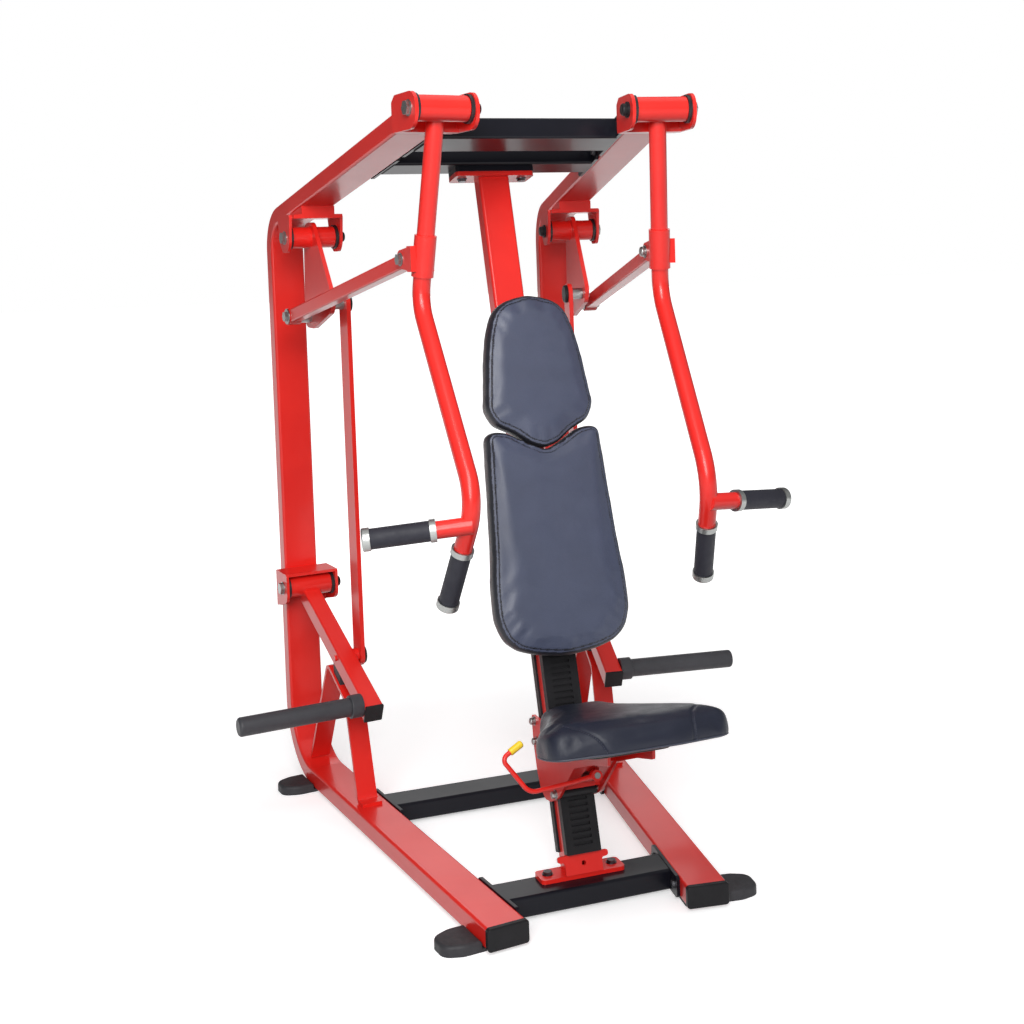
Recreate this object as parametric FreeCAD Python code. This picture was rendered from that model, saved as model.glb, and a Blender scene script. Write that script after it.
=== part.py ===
import FreeCAD, Part
import math
import os

os.makedirs("parts", exist_ok=True)

V = FreeCAD.Vector

# ---------------------------------------------------------------- driving dimensions (mm, degrees)
# Row frame: X to the machine's right seen from the front, Y to the rear, Z up, floor at Z 0,
# symmetric about X 0. Y 0 is the front end of the two floor rails.

# side frames: one bent rectangular tube per side, toed out towards the rear
TOE = 7.6
RAIL_FRONT_X = 247.0
TUBE_W = 100.0
TUBE_T = 50.0
TUBE_WALL = 3.0
TUBE_EDGE_R = 7.0
RAIL_Z = 33.0
UPRIGHT_U = 1367.0
BOOM_SLOPE = 0.19
BOOM_Z_AT_340 = 1853.5
BOOM_END_U = 272.0
REAR_BEND_R = 185.0
TOP_BEND_R = 105.0

# rubber feet
FOOT_HALF = 50.0
FOOT_REACH = 140.0
FOOT_T = 25.0
FRONT_FOOT_U = 64.0
REAR_FOOT_U = 1200.0

# press arm
ARM_PIVOT = (190.0, 1870.0)
BARREL_R = 30.0
BARREL_HALF = 62.0
ARM_TUBE_R = 21.0
ARM_TUBE_WALL = 3.0
ARM_TOP = (1.0, 216.0, 1866.0)
ARM_KNEE = (22.0, 300.0, 1429.5)
ARM_ELBOW = (36.0, 3.6, 999.5)
ARM_TIP = (56.0, 133.0, 747.0)
KNEE_R = 110.0
ELBOW_R = 120.0
SLEEVE_R = 26.0
SLEEVE_AT = (285.0, 382.0)
CLEVIS_EARS = ((-4.0, 5.0), (45.0, 54.0))
LINK_FRONT = (332.0, 1533.0)
HANDLE_ROOT = (38.0, 20.0, 949.0)
HANDLE_END = (262.0, 111.0, 928.5)
STUB_R = 20.0
GRIP_R = 23.0
GRIP_LENGTH = 130.0
GRIP_RING_R = 26.0
GRIP_RING_LENGTH = 14.0
GRIP_CAP_LENGTH = 18.0

# linkage
ROCKER_PIVOT = (1120.0, 1606.0)
LINK_REAR = (1138.0, 1384.0)
ROD_TOP = (990.0, 1418.0)
ROD_BOTTOM = (988.0, 428.0)
ROCKER_PLATE_N = (-4.0, 8.0)
ROD_N = (-50.0, -38.0)
ROD_WIDTH = 60.0
LINK_HEIGHT = 36.0
LINK_WIDTH = 34.0
LINK_REAR_N = 57.0
PIN_R = 8.0

# weight arm and horn
WEIGHT_PIVOT = (1280.0, 578.0)
WEIGHT_ARM_SLOPE = 0.458
WEIGHT_ARM_END_U = 778.0
WEIGHT_TUBE = 50.0
HORN_AXIS = (804.0, 342.5)
HORN_R = 25.0
HORN_COLLAR_R = 31.0
HORN_COLLAR_END_N = 58.0
HORN_END_N = 362.0

# pivots held in forks
EAR_IN = 71.0
EAR_OUT = 79.0
SHAFT_R = 10.0
RUNNING_GAP = 0.05
RING_R = 34.0

# crossmembers
CROSS_W = 100.0
CROSS_T = 50.0
FRONT_TOP_BEAM_W = 125.0
FRONT_TOP_BEAM_T = 52.0
FRONT_CROSS_Y = 155.0
REAR_CROSS_Y = 831.0
FRONT_TOP_BEAM_U = 440.0
REAR_TOP_BEAM_U = 673.0
FLANGE_T = 8.0

# backrest column, leaning back
COLUMN_LEAN = 16.3
COLUMN_FOOT_Y = 147.0
COLUMN_FOOT_Z = 58.0
COLUMN_W = 83.0
COLUMN_T = 50.0
COLUMN_LENGTH = 1752.0

# pads
PAD_LEAN = 14.04
PAD_FRONT_Y = 213.5
PAD_FRONT_Z = 697.0
PAD_T = 60.0
BOARD_T = 16.0

# seat
SEAT_LEAN = 12.0
SEAT_FRONT_Y = -259.0
SEAT_FRONT_Z = 489.4
SEAT_DEPTH = 470.0
SEAT_T = 68.0
SEAT_BOARD_T = 14.0

SIDES = (("left", -1), ("right", 1))

toe = math.radians(TOE)
lean = math.radians(COLUMN_LEAN)
pad_lean = math.radians(PAD_LEAN)
seat_lean = math.radians(SEAT_LEAN)
boom_angle = math.atan(BOOM_SLOPE)


# ---------------------------------------------------------------- helpers
def save(name, shape):
    shape.exportStep("parts/%s.step" % name)


def on_side(shape, side):
    """Take a shape from side-frame coordinates (n outwards, u rearwards, z up) to the row frame."""
    moved = shape.copy()
    moved.rotate(V(0, 0, 0), V(0, 0, 1), -TOE)
    moved.translate(V(RAIL_FRONT_X, 0, 0))
    if side < 0:
        moved = moved.mirror(V(0, 0, 0), V(1, 0, 0))
    return moved


def unit(a, b):
    length = math.hypot(b[0] - a[0], b[1] - a[1])
    return ((b[0] - a[0]) / length, (b[1] - a[1]) / length)


def corner_arc(before, corner, after, radius):
    """Tangent points and middle point of an arc that rounds one corner of an outline."""
    a = unit(corner, before)
    b = unit(corner, after)
    turn = math.acos(max(-1.0, min(1.0, a[0] * b[0] + a[1] * b[1])))
    reach = radius / math.tan(turn / 2)
    mid = (a[0] + b[0], a[1] + b[1])
    size = math.hypot(mid[0], mid[1])
    mid = (mid[0] / size, mid[1] / size)
    centre_at = radius / math.sin(turn / 2)
    near = centre_at - radius
    start = (corner[0] + a[0] * reach, corner[1] + a[1] * reach)
    end = (corner[0] + b[0] * reach, corner[1] + b[1] * reach)
    middle = (corner[0] + mid[0] * near, corner[1] + mid[1] * near)
    return start, middle, end


def outline_edges(points, radii, place, closed):
    """Straight edges and corner arcs along a list of 2-D points."""
    count = len(points)
    edges = []
    stops = []
    for i in range(count):
        inner = closed or 0 < i < count - 1
        if inner and radii[i] > 0:
            before = points[i - 1]
            after = points[(i + 1) % count]
            stops.append(corner_arc(before, points[i], after, radii[i]))
        else:
            stops.append((points[i], None, points[i]))
    for i in range(count):
        start, middle, end = stops[i]
        if middle is not None:
            edges.append(Part.Arc(place(*start), place(*middle), place(*end)).toShape())
        if i + 1 < count or closed:
            following = stops[(i + 1) % count][0]
            if math.hypot(following[0] - end[0], following[1] - end[1]) > 1e-6:
                edges.append(Part.makeLine(place(*end), place(*following)))
    return edges


def face_of(points, radii, place):
    if not isinstance(radii, (list, tuple)):
        radii = [radii] * len(points)
    return Part.Face(Part.Wire(outline_edges(points, radii, place, True)))


def in_side_plane(n):
    return lambda u, z: V(n, u, z)


def side_plate(points, radii, n_low, n_high):
    return face_of(points, radii, in_side_plane(n_low)).extrude(V(n_high - n_low, 0, 0))


def offset_points(points, distance):
    """Offset an open polyline to its left by a distance."""
    out = []
    count = len(points)
    for i in range(count):
        normals = []
        if i > 0:
            d = unit(points[i - 1], points[i])
            normals.append((-d[1], d[0]))
        if i + 1 < count:
            d = unit(points[i], points[i + 1])
            normals.append((-d[1], d[0]))
        nx = sum(v[0] for v in normals)
        ny = sum(v[1] for v in normals)
        size = math.hypot(nx, ny)
        nx, ny = nx / size, ny / size
        scale = distance / (nx * normals[0][0] + ny * normals[0][1])
        out.append((points[i][0] + nx * scale, points[i][1] + ny * scale))
    return out


def band(points, radii, half, n_low, n_high):
    """A flat strip that follows a polyline in the side plane, extruded across it."""
    left = offset_points(points, half)
    right = offset_points(points, -half)
    count = len(points)
    turns = [0.0] * count
    for i in range(1, count - 1):
        a = unit(points[i - 1], points[i])
        b = unit(points[i], points[i + 1])
        turns[i] = 1.0 if a[0] * b[1] - a[1] * b[0] > 0 else -1.0
    left_r = [radii[i] - turns[i] * half for i in range(count)]
    right_r = [radii[i] + turns[i] * half for i in range(count)]
    place = in_side_plane(n_low)
    edges = outline_edges(left, left_r, place, False)
    back = outline_edges(right, right_r, place, False)
    edges.append(Part.makeLine(place(*left[-1]), place(*right[-1])))
    edges.extend(reversed(back))
    edges.append(Part.makeLine(place(*right[0]), place(*left[0])))
    wire = Part.Wire(Part.__sortEdges__(edges))
    return Part.Face(wire).extrude(V(n_high - n_low, 0, 0))


def extended(points, extra):
    a = unit(points[1], points[0])
    b = unit(points[-2], points[-1])
    first = (points[0][0] + a[0] * extra, points[0][1] + a[1] * extra)
    last = (points[-1][0] + b[0] * extra, points[-1][1] + b[1] * extra)
    return [first] + list(points[1:-1]) + [last]


def bent_flat_tube(points, radii, width, thick, wall, edge_r):
    """Hollow rectangular tube, bent in the side plane."""
    outer = band(points, radii, thick / 2, -width / 2, width / 2)
    long_edges = []
    for edge in outer.Edges:
        ends = [v.Point for v in edge.Vertexes]
        flat = all(abs(abs(p.x) - width / 2) < 0.01 for p in ends)
        one_side = len(ends) < 2 or abs(ends[0].x - ends[1].x) < 0.01
        mid = edge.CenterOfMass
        at_end = False
        for end in (points[0], points[-1]):
            if math.hypot(mid.y - end[0], mid.z - end[1]) < thick / 4:
                at_end = True
        if flat and one_side and not at_end:
            long_edges.append(edge)
    outer = outer.makeFillet(edge_r, long_edges)
    inner_half = width / 2 - wall
    inner = band(extended(points, 20.0), radii, thick / 2 - wall, -inner_half, inner_half)
    return outer.cut(inner)


def rect_tube(length, width, height, wall, edge_r):
    """Straight tube along X from 0, width along Y, height along Z, centred on the axis."""
    def section(w, h, r):
        pts = [(-w / 2, -h / 2), (w / 2, -h / 2), (w / 2, h / 2), (-w / 2, h / 2)]
        return face_of(pts, r, lambda a, b: V(0, a, b)).extrude(V(length, 0, 0))
    outer = section(width, height, edge_r)
    inner = section(width - 2 * wall, height - 2 * wall, max(edge_r - wall, 1.0))
    return outer.cut(inner)


def vec(p):
    return V(p[0], p[1], p[2])


def rod_between(start, end, radius, bore=0.0):
    start, end = vec(start), vec(end)
    axis = end.sub(start)
    solid = Part.makeCylinder(radius, axis.Length, start, axis)
    if bore > 0:
        solid = solid.cut(Part.makeCylinder(bore, axis.Length, start, axis))
    return solid


def pipe_along(points, radii, radius):
    """Round bar along straight runs joined by arcs."""
    pts = [vec(p) for p in points]
    edges = []
    last = pts[0]
    for i in range(1, len(pts) - 1):
        corner = pts[i]
        a = pts[i - 1].sub(corner).normalize()
        b = pts[i + 1].sub(corner).normalize()
        turn = a.getAngle(b)
        reach = radii[i] / math.tan(turn / 2)
        mid = a.add(b).normalize()
        start = corner.add(V(a).multiply(reach))
        end = corner.add(V(b).multiply(reach))
        middle = corner.add(V(mid).multiply(radii[i] / math.sin(turn / 2) - radii[i]))
        edges.append(Part.makeLine(last, start))
        edges.append(Part.Arc(start, middle, end).toShape())
        last = end
    edges.append(Part.makeLine(last, pts[-1]))
    path = Part.Wire(edges)
    ring = Part.Wire([Part.Circle(pts[0], pts[1].sub(pts[0]), radius).toShape()])
    return path.makePipeShell([ring], True, False)


def bar_x(n_low, n_high, u, z, radius, bore=0.0):
    """Cylinder across the side plane."""
    return rod_between((n_low, u, z), (n_high, u, z), radius, bore)


def barrel(u, z):
    """Pivot tube with a bearing bush at each end, as one solid of revolution."""
    body = bar_x(-BARREL_HALF, BARREL_HALF, u, z, BARREL_R, 24.0)
    for low, high in ((-BARREL_HALF, -BARREL_HALF + 20), (BARREL_HALF - 20, BARREL_HALF)):
        body = body.fuse(bar_x(low, high, u, z, 24.5, SHAFT_R + RUNNING_GAP))
    return body.removeSplitter()


def hexagon(centre, axis, across, height):
    axis = vec(axis).normalize()
    side = V(0, 0, 1) if abs(axis.z) < 0.9 else V(0, 1, 0)
    first = axis.cross(side).normalize()
    second = axis.cross(first)
    radius = across / math.sqrt(3)
    pts = []
    for i in range(6):
        angle = math.radians(60 * i)
        reach = V(first).multiply(radius * math.cos(angle))
        pts.append(vec(centre).add(reach).add(V(second).multiply(radius * math.sin(angle))))
    wire = Part.makePolygon(pts + [pts[0]])
    return Part.Face(wire).extrude(V(axis).multiply(height))


def screw(point, axis, length, size, into):
    """Hexagon-head screw: head stands out along the axis, shank runs back from the point."""
    direction = vec(axis).normalize()
    head = hexagon(point, direction, size * 1.6, size * 0.65)
    tail = vec(point).sub(V(direction).multiply(length))
    shank = Part.makeCylinder(size / 2, length + into, tail, direction)
    washer = Part.makeCylinder(size * 1.1, 2.0, vec(point), direction)
    return head.fuse(washer).fuse(shank).removeSplitter()


def along_column(x, s, d):
    """Point from the column's own coordinates: s up its length, d out from its front face."""
    y = COLUMN_FOOT_Y + s * math.sin(lean) - d * math.cos(lean)
    z = COLUMN_FOOT_Z + s * math.cos(lean) + d * math.sin(lean)
    return V(x, y, z)


def column_box(x_low, x_high, s_low, s_high, d_low, d_high):
    pts = [(s_low, d_low), (s_high, d_low), (s_high, d_high), (s_low, d_high)]
    face = Part.Face(Part.makePolygon([along_column(x_low, s, d) for s, d in pts + [pts[0]]]))
    return face.extrude(V(x_high - x_low, 0, 0))


def column_plate(points, radii, x_low, x_high):
    face = face_of(points, radii, lambda s, d: along_column(x_low, s, d))
    return face.extrude(V(x_high - x_low, 0, 0))


def column_bar(x_low, x_high, s, d, radius, bore=0.0):
    start = along_column(x_low, s, d)
    end = along_column(x_high, s, d)
    return rod_between(start, end, radius, bore)


def on_pad(x, t, e):
    """Point from pad coordinates: t up the pad, e back from its front face."""
    y = PAD_FRONT_Y + t * math.sin(pad_lean) + e * math.cos(pad_lean)
    z = PAD_FRONT_Z + t * math.cos(pad_lean) - e * math.sin(pad_lean)
    return V(x, y, z)


def pad_solid(points, radii, e_front, e_back):
    face = face_of(points, radii, lambda x, t: on_pad(x, t, e_front))
    depth = e_back - e_front
    return face.extrude(V(0, depth * math.cos(pad_lean), -depth * math.sin(pad_lean)))


def on_seat(x, r, h):
    """Point from seat coordinates: r back from the front edge, h up from the underside."""
    y = SEAT_FRONT_Y + r * math.cos(seat_lean) + h * math.sin(seat_lean)
    z = SEAT_FRONT_Z - r * math.sin(seat_lean) + h * math.cos(seat_lean)
    return V(x, y, z)


def seat_solid(points, radii, h_low, h_high):
    face = face_of(points, radii, lambda x, r: on_seat(x, r, h_low))
    rise = h_high - h_low
    return face.extrude(V(0, rise * math.sin(seat_lean), rise * math.cos(seat_lean)))


def mirrored(points, radii):
    """Complete an outline from its right half, listed from one end on the centre line."""
    left = [(-x, y) for x, y in reversed(points) if abs(x) > 0.01]
    left_r = [r for (x, y), r in reversed(list(zip(points, radii))) if abs(x) > 0.01]
    return list(points) + left, list(radii) + left_r


parts = {}


# ---------------------------------------------------------------- side frames
def boom_z(u):
    return BOOM_Z_AT_340 - BOOM_SLOPE * (u - 340.0)


BOOM_RISE = TUBE_T / 2 / math.cos(boom_angle)


def make_side_frame():
    line = [(0.0, RAIL_Z), (UPRIGHT_U, RAIL_Z), (UPRIGHT_U, boom_z(UPRIGHT_U)), (240.0, boom_z(240.0))]
    radii = [0.0, REAR_BEND_R, TOP_BEND_R, 0.0]
    tube = bent_flat_tube(line, radii, TUBE_W, TUBE_T, TUBE_WALL, TUBE_EDGE_R)
    trim = Part.makeBox(200, 200, 300, V(-100, BOOM_END_U - 200, boom_z(BOOM_END_U) - 150))
    return tube.cut(trim)


def make_rail_cap():
    """Moulded plug over the front end of a rail, a little larger than the tube."""
    w = TUBE_W / 2 + 1.5
    low = RAIL_Z - TUBE_T / 2 - 1.5
    high = RAIL_Z + TUBE_T / 2 + 1.5
    pts = [(-w, low), (w, low), (w, high), (-w, high)]
    head = face_of(pts, 8.0, lambda n, z: V(n, -14, z)).extrude(V(0, 14, 0))
    front = [e for e in head.Edges if abs(e.CenterOfMass.y + 14) < 0.1]
    head = head.makeFillet(4.0, front)
    w = TUBE_W / 2 - TUBE_WALL - 0.3
    h = TUBE_T / 2 - TUBE_WALL - 0.3
    pts = [(-w, RAIL_Z - h), (w, RAIL_Z - h), (w, RAIL_Z + h), (-w, RAIL_Z + h)]
    plug = face_of(pts, 3.0, lambda n, z: V(n, -2, z)).extrude(V(0, 27, 0))
    return head.fuse(plug).removeSplitter()


def make_foot(u_mid):
    """Rubber foot: a pad under the rail with a rounded tongue that reaches outwards."""
    half = FOOT_HALF
    rail_bottom = RAIL_Z - TUBE_T / 2
    tip = FOOT_REACH
    pts = [(-46, u_mid - half), (tip - 44, u_mid - half), (tip, u_mid - half + 18),
           (tip, u_mid + half - 18), (tip - 44, u_mid + half), (-46, u_mid + half)]
    under = face_of(pts, [10, 50, 30, 30, 50, 10], lambda n, u: V(n, u, 0))
    under = under.extrude(V(0, 0, rail_bottom))
    pts = [(52, u_mid - half), (tip - 44, u_mid - half), (tip, u_mid - half + 18),
           (tip, u_mid + half - 18), (tip - 44, u_mid + half), (52, u_mid + half)]
    tongue = face_of(pts, [3, 50, 30, 30, 50, 3], lambda n, u: V(n, u, 0)).extrude(V(0, 0, FOOT_T))
    top = [e for e in tongue.Edges if abs(e.CenterOfMass.z - FOOT_T) < 0.1]
    tongue = tongue.makeFillet(8.0, top)
    return under.fuse(tongue).removeSplitter()


STOP_T = 9.0
STOP_LINE = [(812.0, 62.5), (852.0, 62.5), (925.0, 323.0), (1061.0, 394.0), (1240.0, 73.3)]


def make_stop():
    """Bent flat bar on the rail that the weight arm comes to rest on."""
    return band(STOP_LINE, [0, 16, 18, 18, 0], STOP_T / 2, -28.0, 28.0)


def make_bumper():
    """Rubber block between the stop and the underside of the weight arm."""
    slope = math.atan2(394.0 - 323.0, 1061.0 - 925.0)
    mid_u = 998.0
    plate_z = 323.0 + (mid_u - 925.0) * math.tan(slope) + STOP_T / 2 / math.cos(slope)
    arm_low = arm_mid_z(mid_u) - WEIGHT_TUBE / 2 / math.cos(math.atan(WEIGHT_ARM_SLOPE))
    half = 24.0
    rise = half * math.tan(slope)
    rise_top = half * WEIGHT_ARM_SLOPE
    pts = [(mid_u - half, plate_z - rise), (mid_u + half, plate_z + rise),
           (mid_u + half, arm_low + rise_top - 0.6), (mid_u - half, arm_low - rise_top - 0.6)]
    block = side_plate(pts, 0, -22.0, 22.0)
    return block


def arm_mid_z(u):
    top = 567.5 - WEIGHT_ARM_SLOPE * (1248.6 - u)
    return top - WEIGHT_TUBE / 2 / math.cos(math.atan(WEIGHT_ARM_SLOPE))


side_frame = make_side_frame()
side_stop = make_stop()
side_bumper = make_bumper()
rail_cap = make_rail_cap()
feet = [make_foot(FRONT_FOOT_U), make_foot(REAR_FOOT_U)]

for label, side in SIDES:
    parts["side_frame_" + label] = on_side(side_frame, side)
parts["weight_stops"] = Part.makeCompound([on_side(side_stop, side) for label, side in SIDES])
parts["stop_bumpers"] = Part.makeCompound([on_side(side_bumper, side) for label, side in SIDES])
parts["rail_end_caps"] = Part.makeCompound([on_side(rail_cap, side) for label, side in SIDES])
parts["foot_pads"] = Part.makeCompound([on_side(f, side) for label, side in SIDES for f in feet])


# ---------------------------------------------------------------- crossmembers
def trim_to_sides(shape, reach_n):
    """Cut a long bar off at a plane inside each side frame."""
    for label, side in SIDES:
        block = Part.makeBox(600, 3000, 3000, V(reach_n, -500, -500))
        shape = shape.cut(on_side(block, side))
    return shape


def cross_bar(y, z, turn, width=CROSS_W, height=CROSS_T):
    bar = rect_tube(1400.0, width, height, TUBE_WALL, TUBE_EDGE_R)
    bar.translate(V(-700, 0, 0))
    bar.rotate(V(0, 0, 0), V(1, 0, 0), turn)
    bar.translate(V(0, y, z))
    return trim_to_sides(bar, -TUBE_W / 2 - FLANGE_T)


FLANGE_IN = -TUBE_W / 2 - FLANGE_T
FLANGE_OUT = -TUBE_W / 2

floor_flange_z = (8.0, 60.0)


def floor_flange(u_low, u_high):
    low, high = floor_flange_z
    pts = [(u_low, low), (u_high, low), (u_high, high), (u_low, high)]
    return side_plate(pts, 10.0, FLANGE_IN, FLANGE_OUT)


def boom_flange(u_low, u_high):
    pts = [(u_low, boom_z(u_low) - BOOM_RISE), (u_high, boom_z(u_high) - BOOM_RISE),
           (u_high, boom_z(u_high) + BOOM_RISE), (u_low, boom_z(u_low) + BOOM_RISE)]
    return side_plate(pts, 10.0, FLANGE_IN, FLANGE_OUT)


def side_u(y):
    """Distance along a side frame of a point on its inner face at a given Y."""
    return (y + FLANGE_IN * math.sin(toe)) / math.cos(toe)


def with_flanges(bar, flange):
    for label, side in SIDES:
        bar = bar.fuse(on_side(flange, side))
    return bar.removeSplitter()


front_u = side_u(FRONT_CROSS_Y)
rear_u = side_u(REAR_CROSS_Y)
front_flange = (front_u - 102.0, front_u + 102.0)
rear_flange = (rear_u - 100.0, rear_u + 100.0)
top_front_flange = (318.0, 560.0)
top_rear_flange = (580.0, 774.0)

front_cross = with_flanges(cross_bar(FRONT_CROSS_Y, RAIL_Z, 0), floor_flange(*front_flange))
rear_cross = with_flanges(cross_bar(REAR_CROSS_Y, RAIL_Z, 0), floor_flange(*rear_flange))


def top_beam(u, width, height):
    tilt = -math.degrees(boom_angle)
    return cross_bar(u, boom_z(u) - 1.5, tilt, width, height)


top_front = with_flanges(top_beam(FRONT_TOP_BEAM_U, FRONT_TOP_BEAM_W, FRONT_TOP_BEAM_T), boom_flange(*top_front_flange))
top_rear = with_flanges(top_beam(REAR_TOP_BEAM_U, CROSS_W, CROSS_T), boom_flange(*top_rear_flange))

# screws through the flanges into the side frames, heads on the inner side
flange_screws = []
flange_holes = []


def flange_screw(side, u, z):
    point = (FLANGE_IN, u, z)
    flange_screws.append(on_side(screw(point, (-1, 0, 0), 20.0, 10.0, 0.0), side))
    flange_holes.append(on_side(bar_x(FLANGE_IN - 5, FLANGE_IN + 25, u, z, 5.3), side))


for label, side in SIDES:
    for low, high in (front_flange, rear_flange):
        for u in (low + 22.0, high - 22.0):
            flange_screw(side, u, RAIL_Z + 2.0)
    for low, high in (top_front_flange, top_rear_flange):
        for u in (low + 22.0, high - 22.0):
            flange_screw(side, u, boom_z(u))

hole_tool = Part.makeCompound(flange_holes)
front_cross = front_cross.cut(hole_tool)
rear_cross = rear_cross.cut(hole_tool)
top_front = top_front.cut(hole_tool)
top_rear = top_rear.cut(hole_tool)
for label, side in SIDES:
    parts["side_frame_" + label] = parts["side_frame_" + label].cut(hole_tool)

# ---------------------------------------------------------------- backrest column
BEAM_BOTTOM_AT_0 = boom_z(0.0) - 1.5 - BOOM_RISE
FOOT_PLATE_T = 10.0
FOOT_PLATE_Y = (147.0, 207.0)
FOOT_PLATE_HALF = 106.0
HEAD_PLATE_T = 12.0
HEAD_HALF_W = 107.0
HEAD_Y = (628.0, 704.0)
HEAD_BOLT_Y = 660.0
SPACER_T = 15.0


def beam_bottom(y):
    return BEAM_BOTTOM_AT_0 - BOOM_SLOPE * y


def sloped_plate(x_half, y_low, y_high, top_drop, thick, edge_r):
    """Plate parallel to the top beams, its top a given distance below their undersides."""
    pts = [(-x_half, y_low), (x_half, y_low), (x_half, y_high), (-x_half, y_high)]
    fall = top_drop / math.cos(boom_angle)
    face = face_of(pts, edge_r, lambda x, y: V(x, y, beam_bottom(y) - fall))
    down = V(0, -math.sin(boom_angle), -math.cos(boom_angle)).multiply(thick)
    return face.extrude(down)


def make_column():
    tube = rect_tube(COLUMN_LENGTH + 120.0, COLUMN_W, COLUMN_T, TUBE_WALL, TUBE_EDGE_R)
    tube.rotate(V(0, 0, 0), V(0, 1, 0), -90)
    tube.rotate(V(0, 0, 0), V(0, 0, 1), 90)
    tube.translate(V(0, 0, -60))
    tube.rotate(V(0, 0, 0), V(1, 0, 0), -COLUMN_LEAN)
    tube.translate(along_column(0, 0, -COLUMN_T / 2))
    below = Part.makeBox(400, 400, 200, V(-200, 0, COLUMN_FOOT_Z + FOOT_PLATE_T - 200))
    tube = tube.cut(below)
    above = sloped_plate(200, 400, 900, SPACER_T, -200, 0)
    tube = tube.cut(above)
    foot = Part.makeBox(2 * FOOT_PLATE_HALF, FOOT_PLATE_Y[1] - FOOT_PLATE_Y[0], FOOT_PLATE_T,
                        V(-FOOT_PLATE_HALF, FOOT_PLATE_Y[0], COLUMN_FOOT_Z))
    corners = [e for e in foot.Edges if abs(e.Vertexes[0].Z - e.Vertexes[-1].Z) > FOOT_PLATE_T / 2]
    foot = foot.makeFillet(10.0, corners)
    head = sloped_plate(HEAD_HALF_W, HEAD_Y[0], HEAD_Y[1], SPACER_T, HEAD_PLATE_T, 10)
    column = tube.fuse(foot).fuse(head)
    # upstand on the front of the foot, with a hooked ear at each top corner
    up_s = (FOOT_PLATE_T / math.cos(lean), 56.0)
    pts = [(-47, up_s[0]), (47, up_s[0]), (47, up_s[1] - 16), (64, up_s[1] - 14), (64, up_s[1]),
           (-64, up_s[1]), (-64, up_s[1] - 14), (-47, up_s[1] - 16)]
    face = face_of(pts, [0, 0, 6, 6, 6, 6, 6, 6], lambda x, s: along_column(x, s, 0.0))
    upstand = face.extrude(along_column(0, 0, 8.0).sub(along_column(0, 0, 0.0)))
    column = column.fuse(upstand)
    hole = rod_between(tuple(along_column(0, 34.0, -10.0)), tuple(along_column(0, 34.0, 20.0)), 5.5)
    column = column.cut(hole)
    return column.removeSplitter()


def track_box(s_low, s_high, d_low, d_high, half, edge_r):
    pts = [(-half, s_low), (half, s_low), (half, s_high), (-half, s_high)]
    face = face_of(pts, edge_r, lambda x, s: along_column(x, s, d_low))
    return face.extrude(along_column(0, 0, d_high).sub(along_column(0, 0, d_low)))


TRACK_S = (57.0, 595.0)
TRACK_T = 21.0
SLOT_PITCH = 14.6
FIRST_SLOT_S = 76.0
SLOT_COUNT = 34


def make_track():
    """Moulded cover on the column front, with a ladder of stepped slots for the seat latch."""
    cover = track_box(TRACK_S[0], TRACK_S[1], 0.2, TRACK_T, 43.5, 4.0)
    slots = []
    for i in range(SLOT_COUNT):
        s = FIRST_SLOT_S + i * SLOT_PITCH
        slots.append(track_box(s, s + 7.0, TRACK_T - 6.0, TRACK_T + 5.0, 24.0, 2.0))
    cover = cover.cut(Part.makeCompound(slots))
    return cover


column = make_column()

column_screws = []
column_holes = []
for x in (-82.0, 82.0):
    base_top = COLUMN_FOOT_Z + FOOT_PLATE_T
    column_screws.append(screw((x, 179.0, base_top), (0, 0, 1), 16.0, 12.0, 0.0))
    column_holes.append(rod_between((x, 179.0, 40.0), (x, 179.0, base_top + 4), 6.3))
    drop = SPACER_T + HEAD_PLATE_T
    down = (0, -math.sin(boom_angle), -math.cos(boom_angle))
    point = (x, HEAD_BOLT_Y, beam_bottom(HEAD_BOLT_Y) - drop / math.cos(boom_angle))
    column_screws.append(screw(point, down, 32.0, 12.0, 0.0))
    start = vec(point).add(vec(down).multiply(4.0))
    column_holes.append(rod_between(tuple(start), tuple(vec(point).sub(vec(down).multiply(40.0))), 6.3))

column_hole_tool = Part.makeCompound(column_holes)
parts["backrest_column"] = column.cut(column_hole_tool)
parts["column_head_spacer"] = sloped_plate(HEAD_HALF_W, HEAD_Y[0], HEAD_Y[1], 0.0, SPACER_T, 8).cut(column_hole_tool)
parts["front_crossmember"] = front_cross.cut(column_hole_tool)
parts["rear_crossmember"] = rear_cross
parts["top_front_crossbeam"] = top_front
parts["top_rear_crossbeam"] = top_rear.cut(column_hole_tool)
parts["seat_track_cover"] = make_track()
parts["column_guide_strips"] = Part.makeCompound(
    [column_box(-47.0, -COLUMN_W / 2 - 0.1, 62.0, 575.0, -COLUMN_T, -COLUMN_T + 20.0),
     column_box(COLUMN_W / 2 + 0.1, 47.0, 62.0, 575.0, -COLUMN_T, -COLUMN_T + 20.0)])
parts["frame_screws"] = Part.makeCompound(flange_screws + column_screws)


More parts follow.
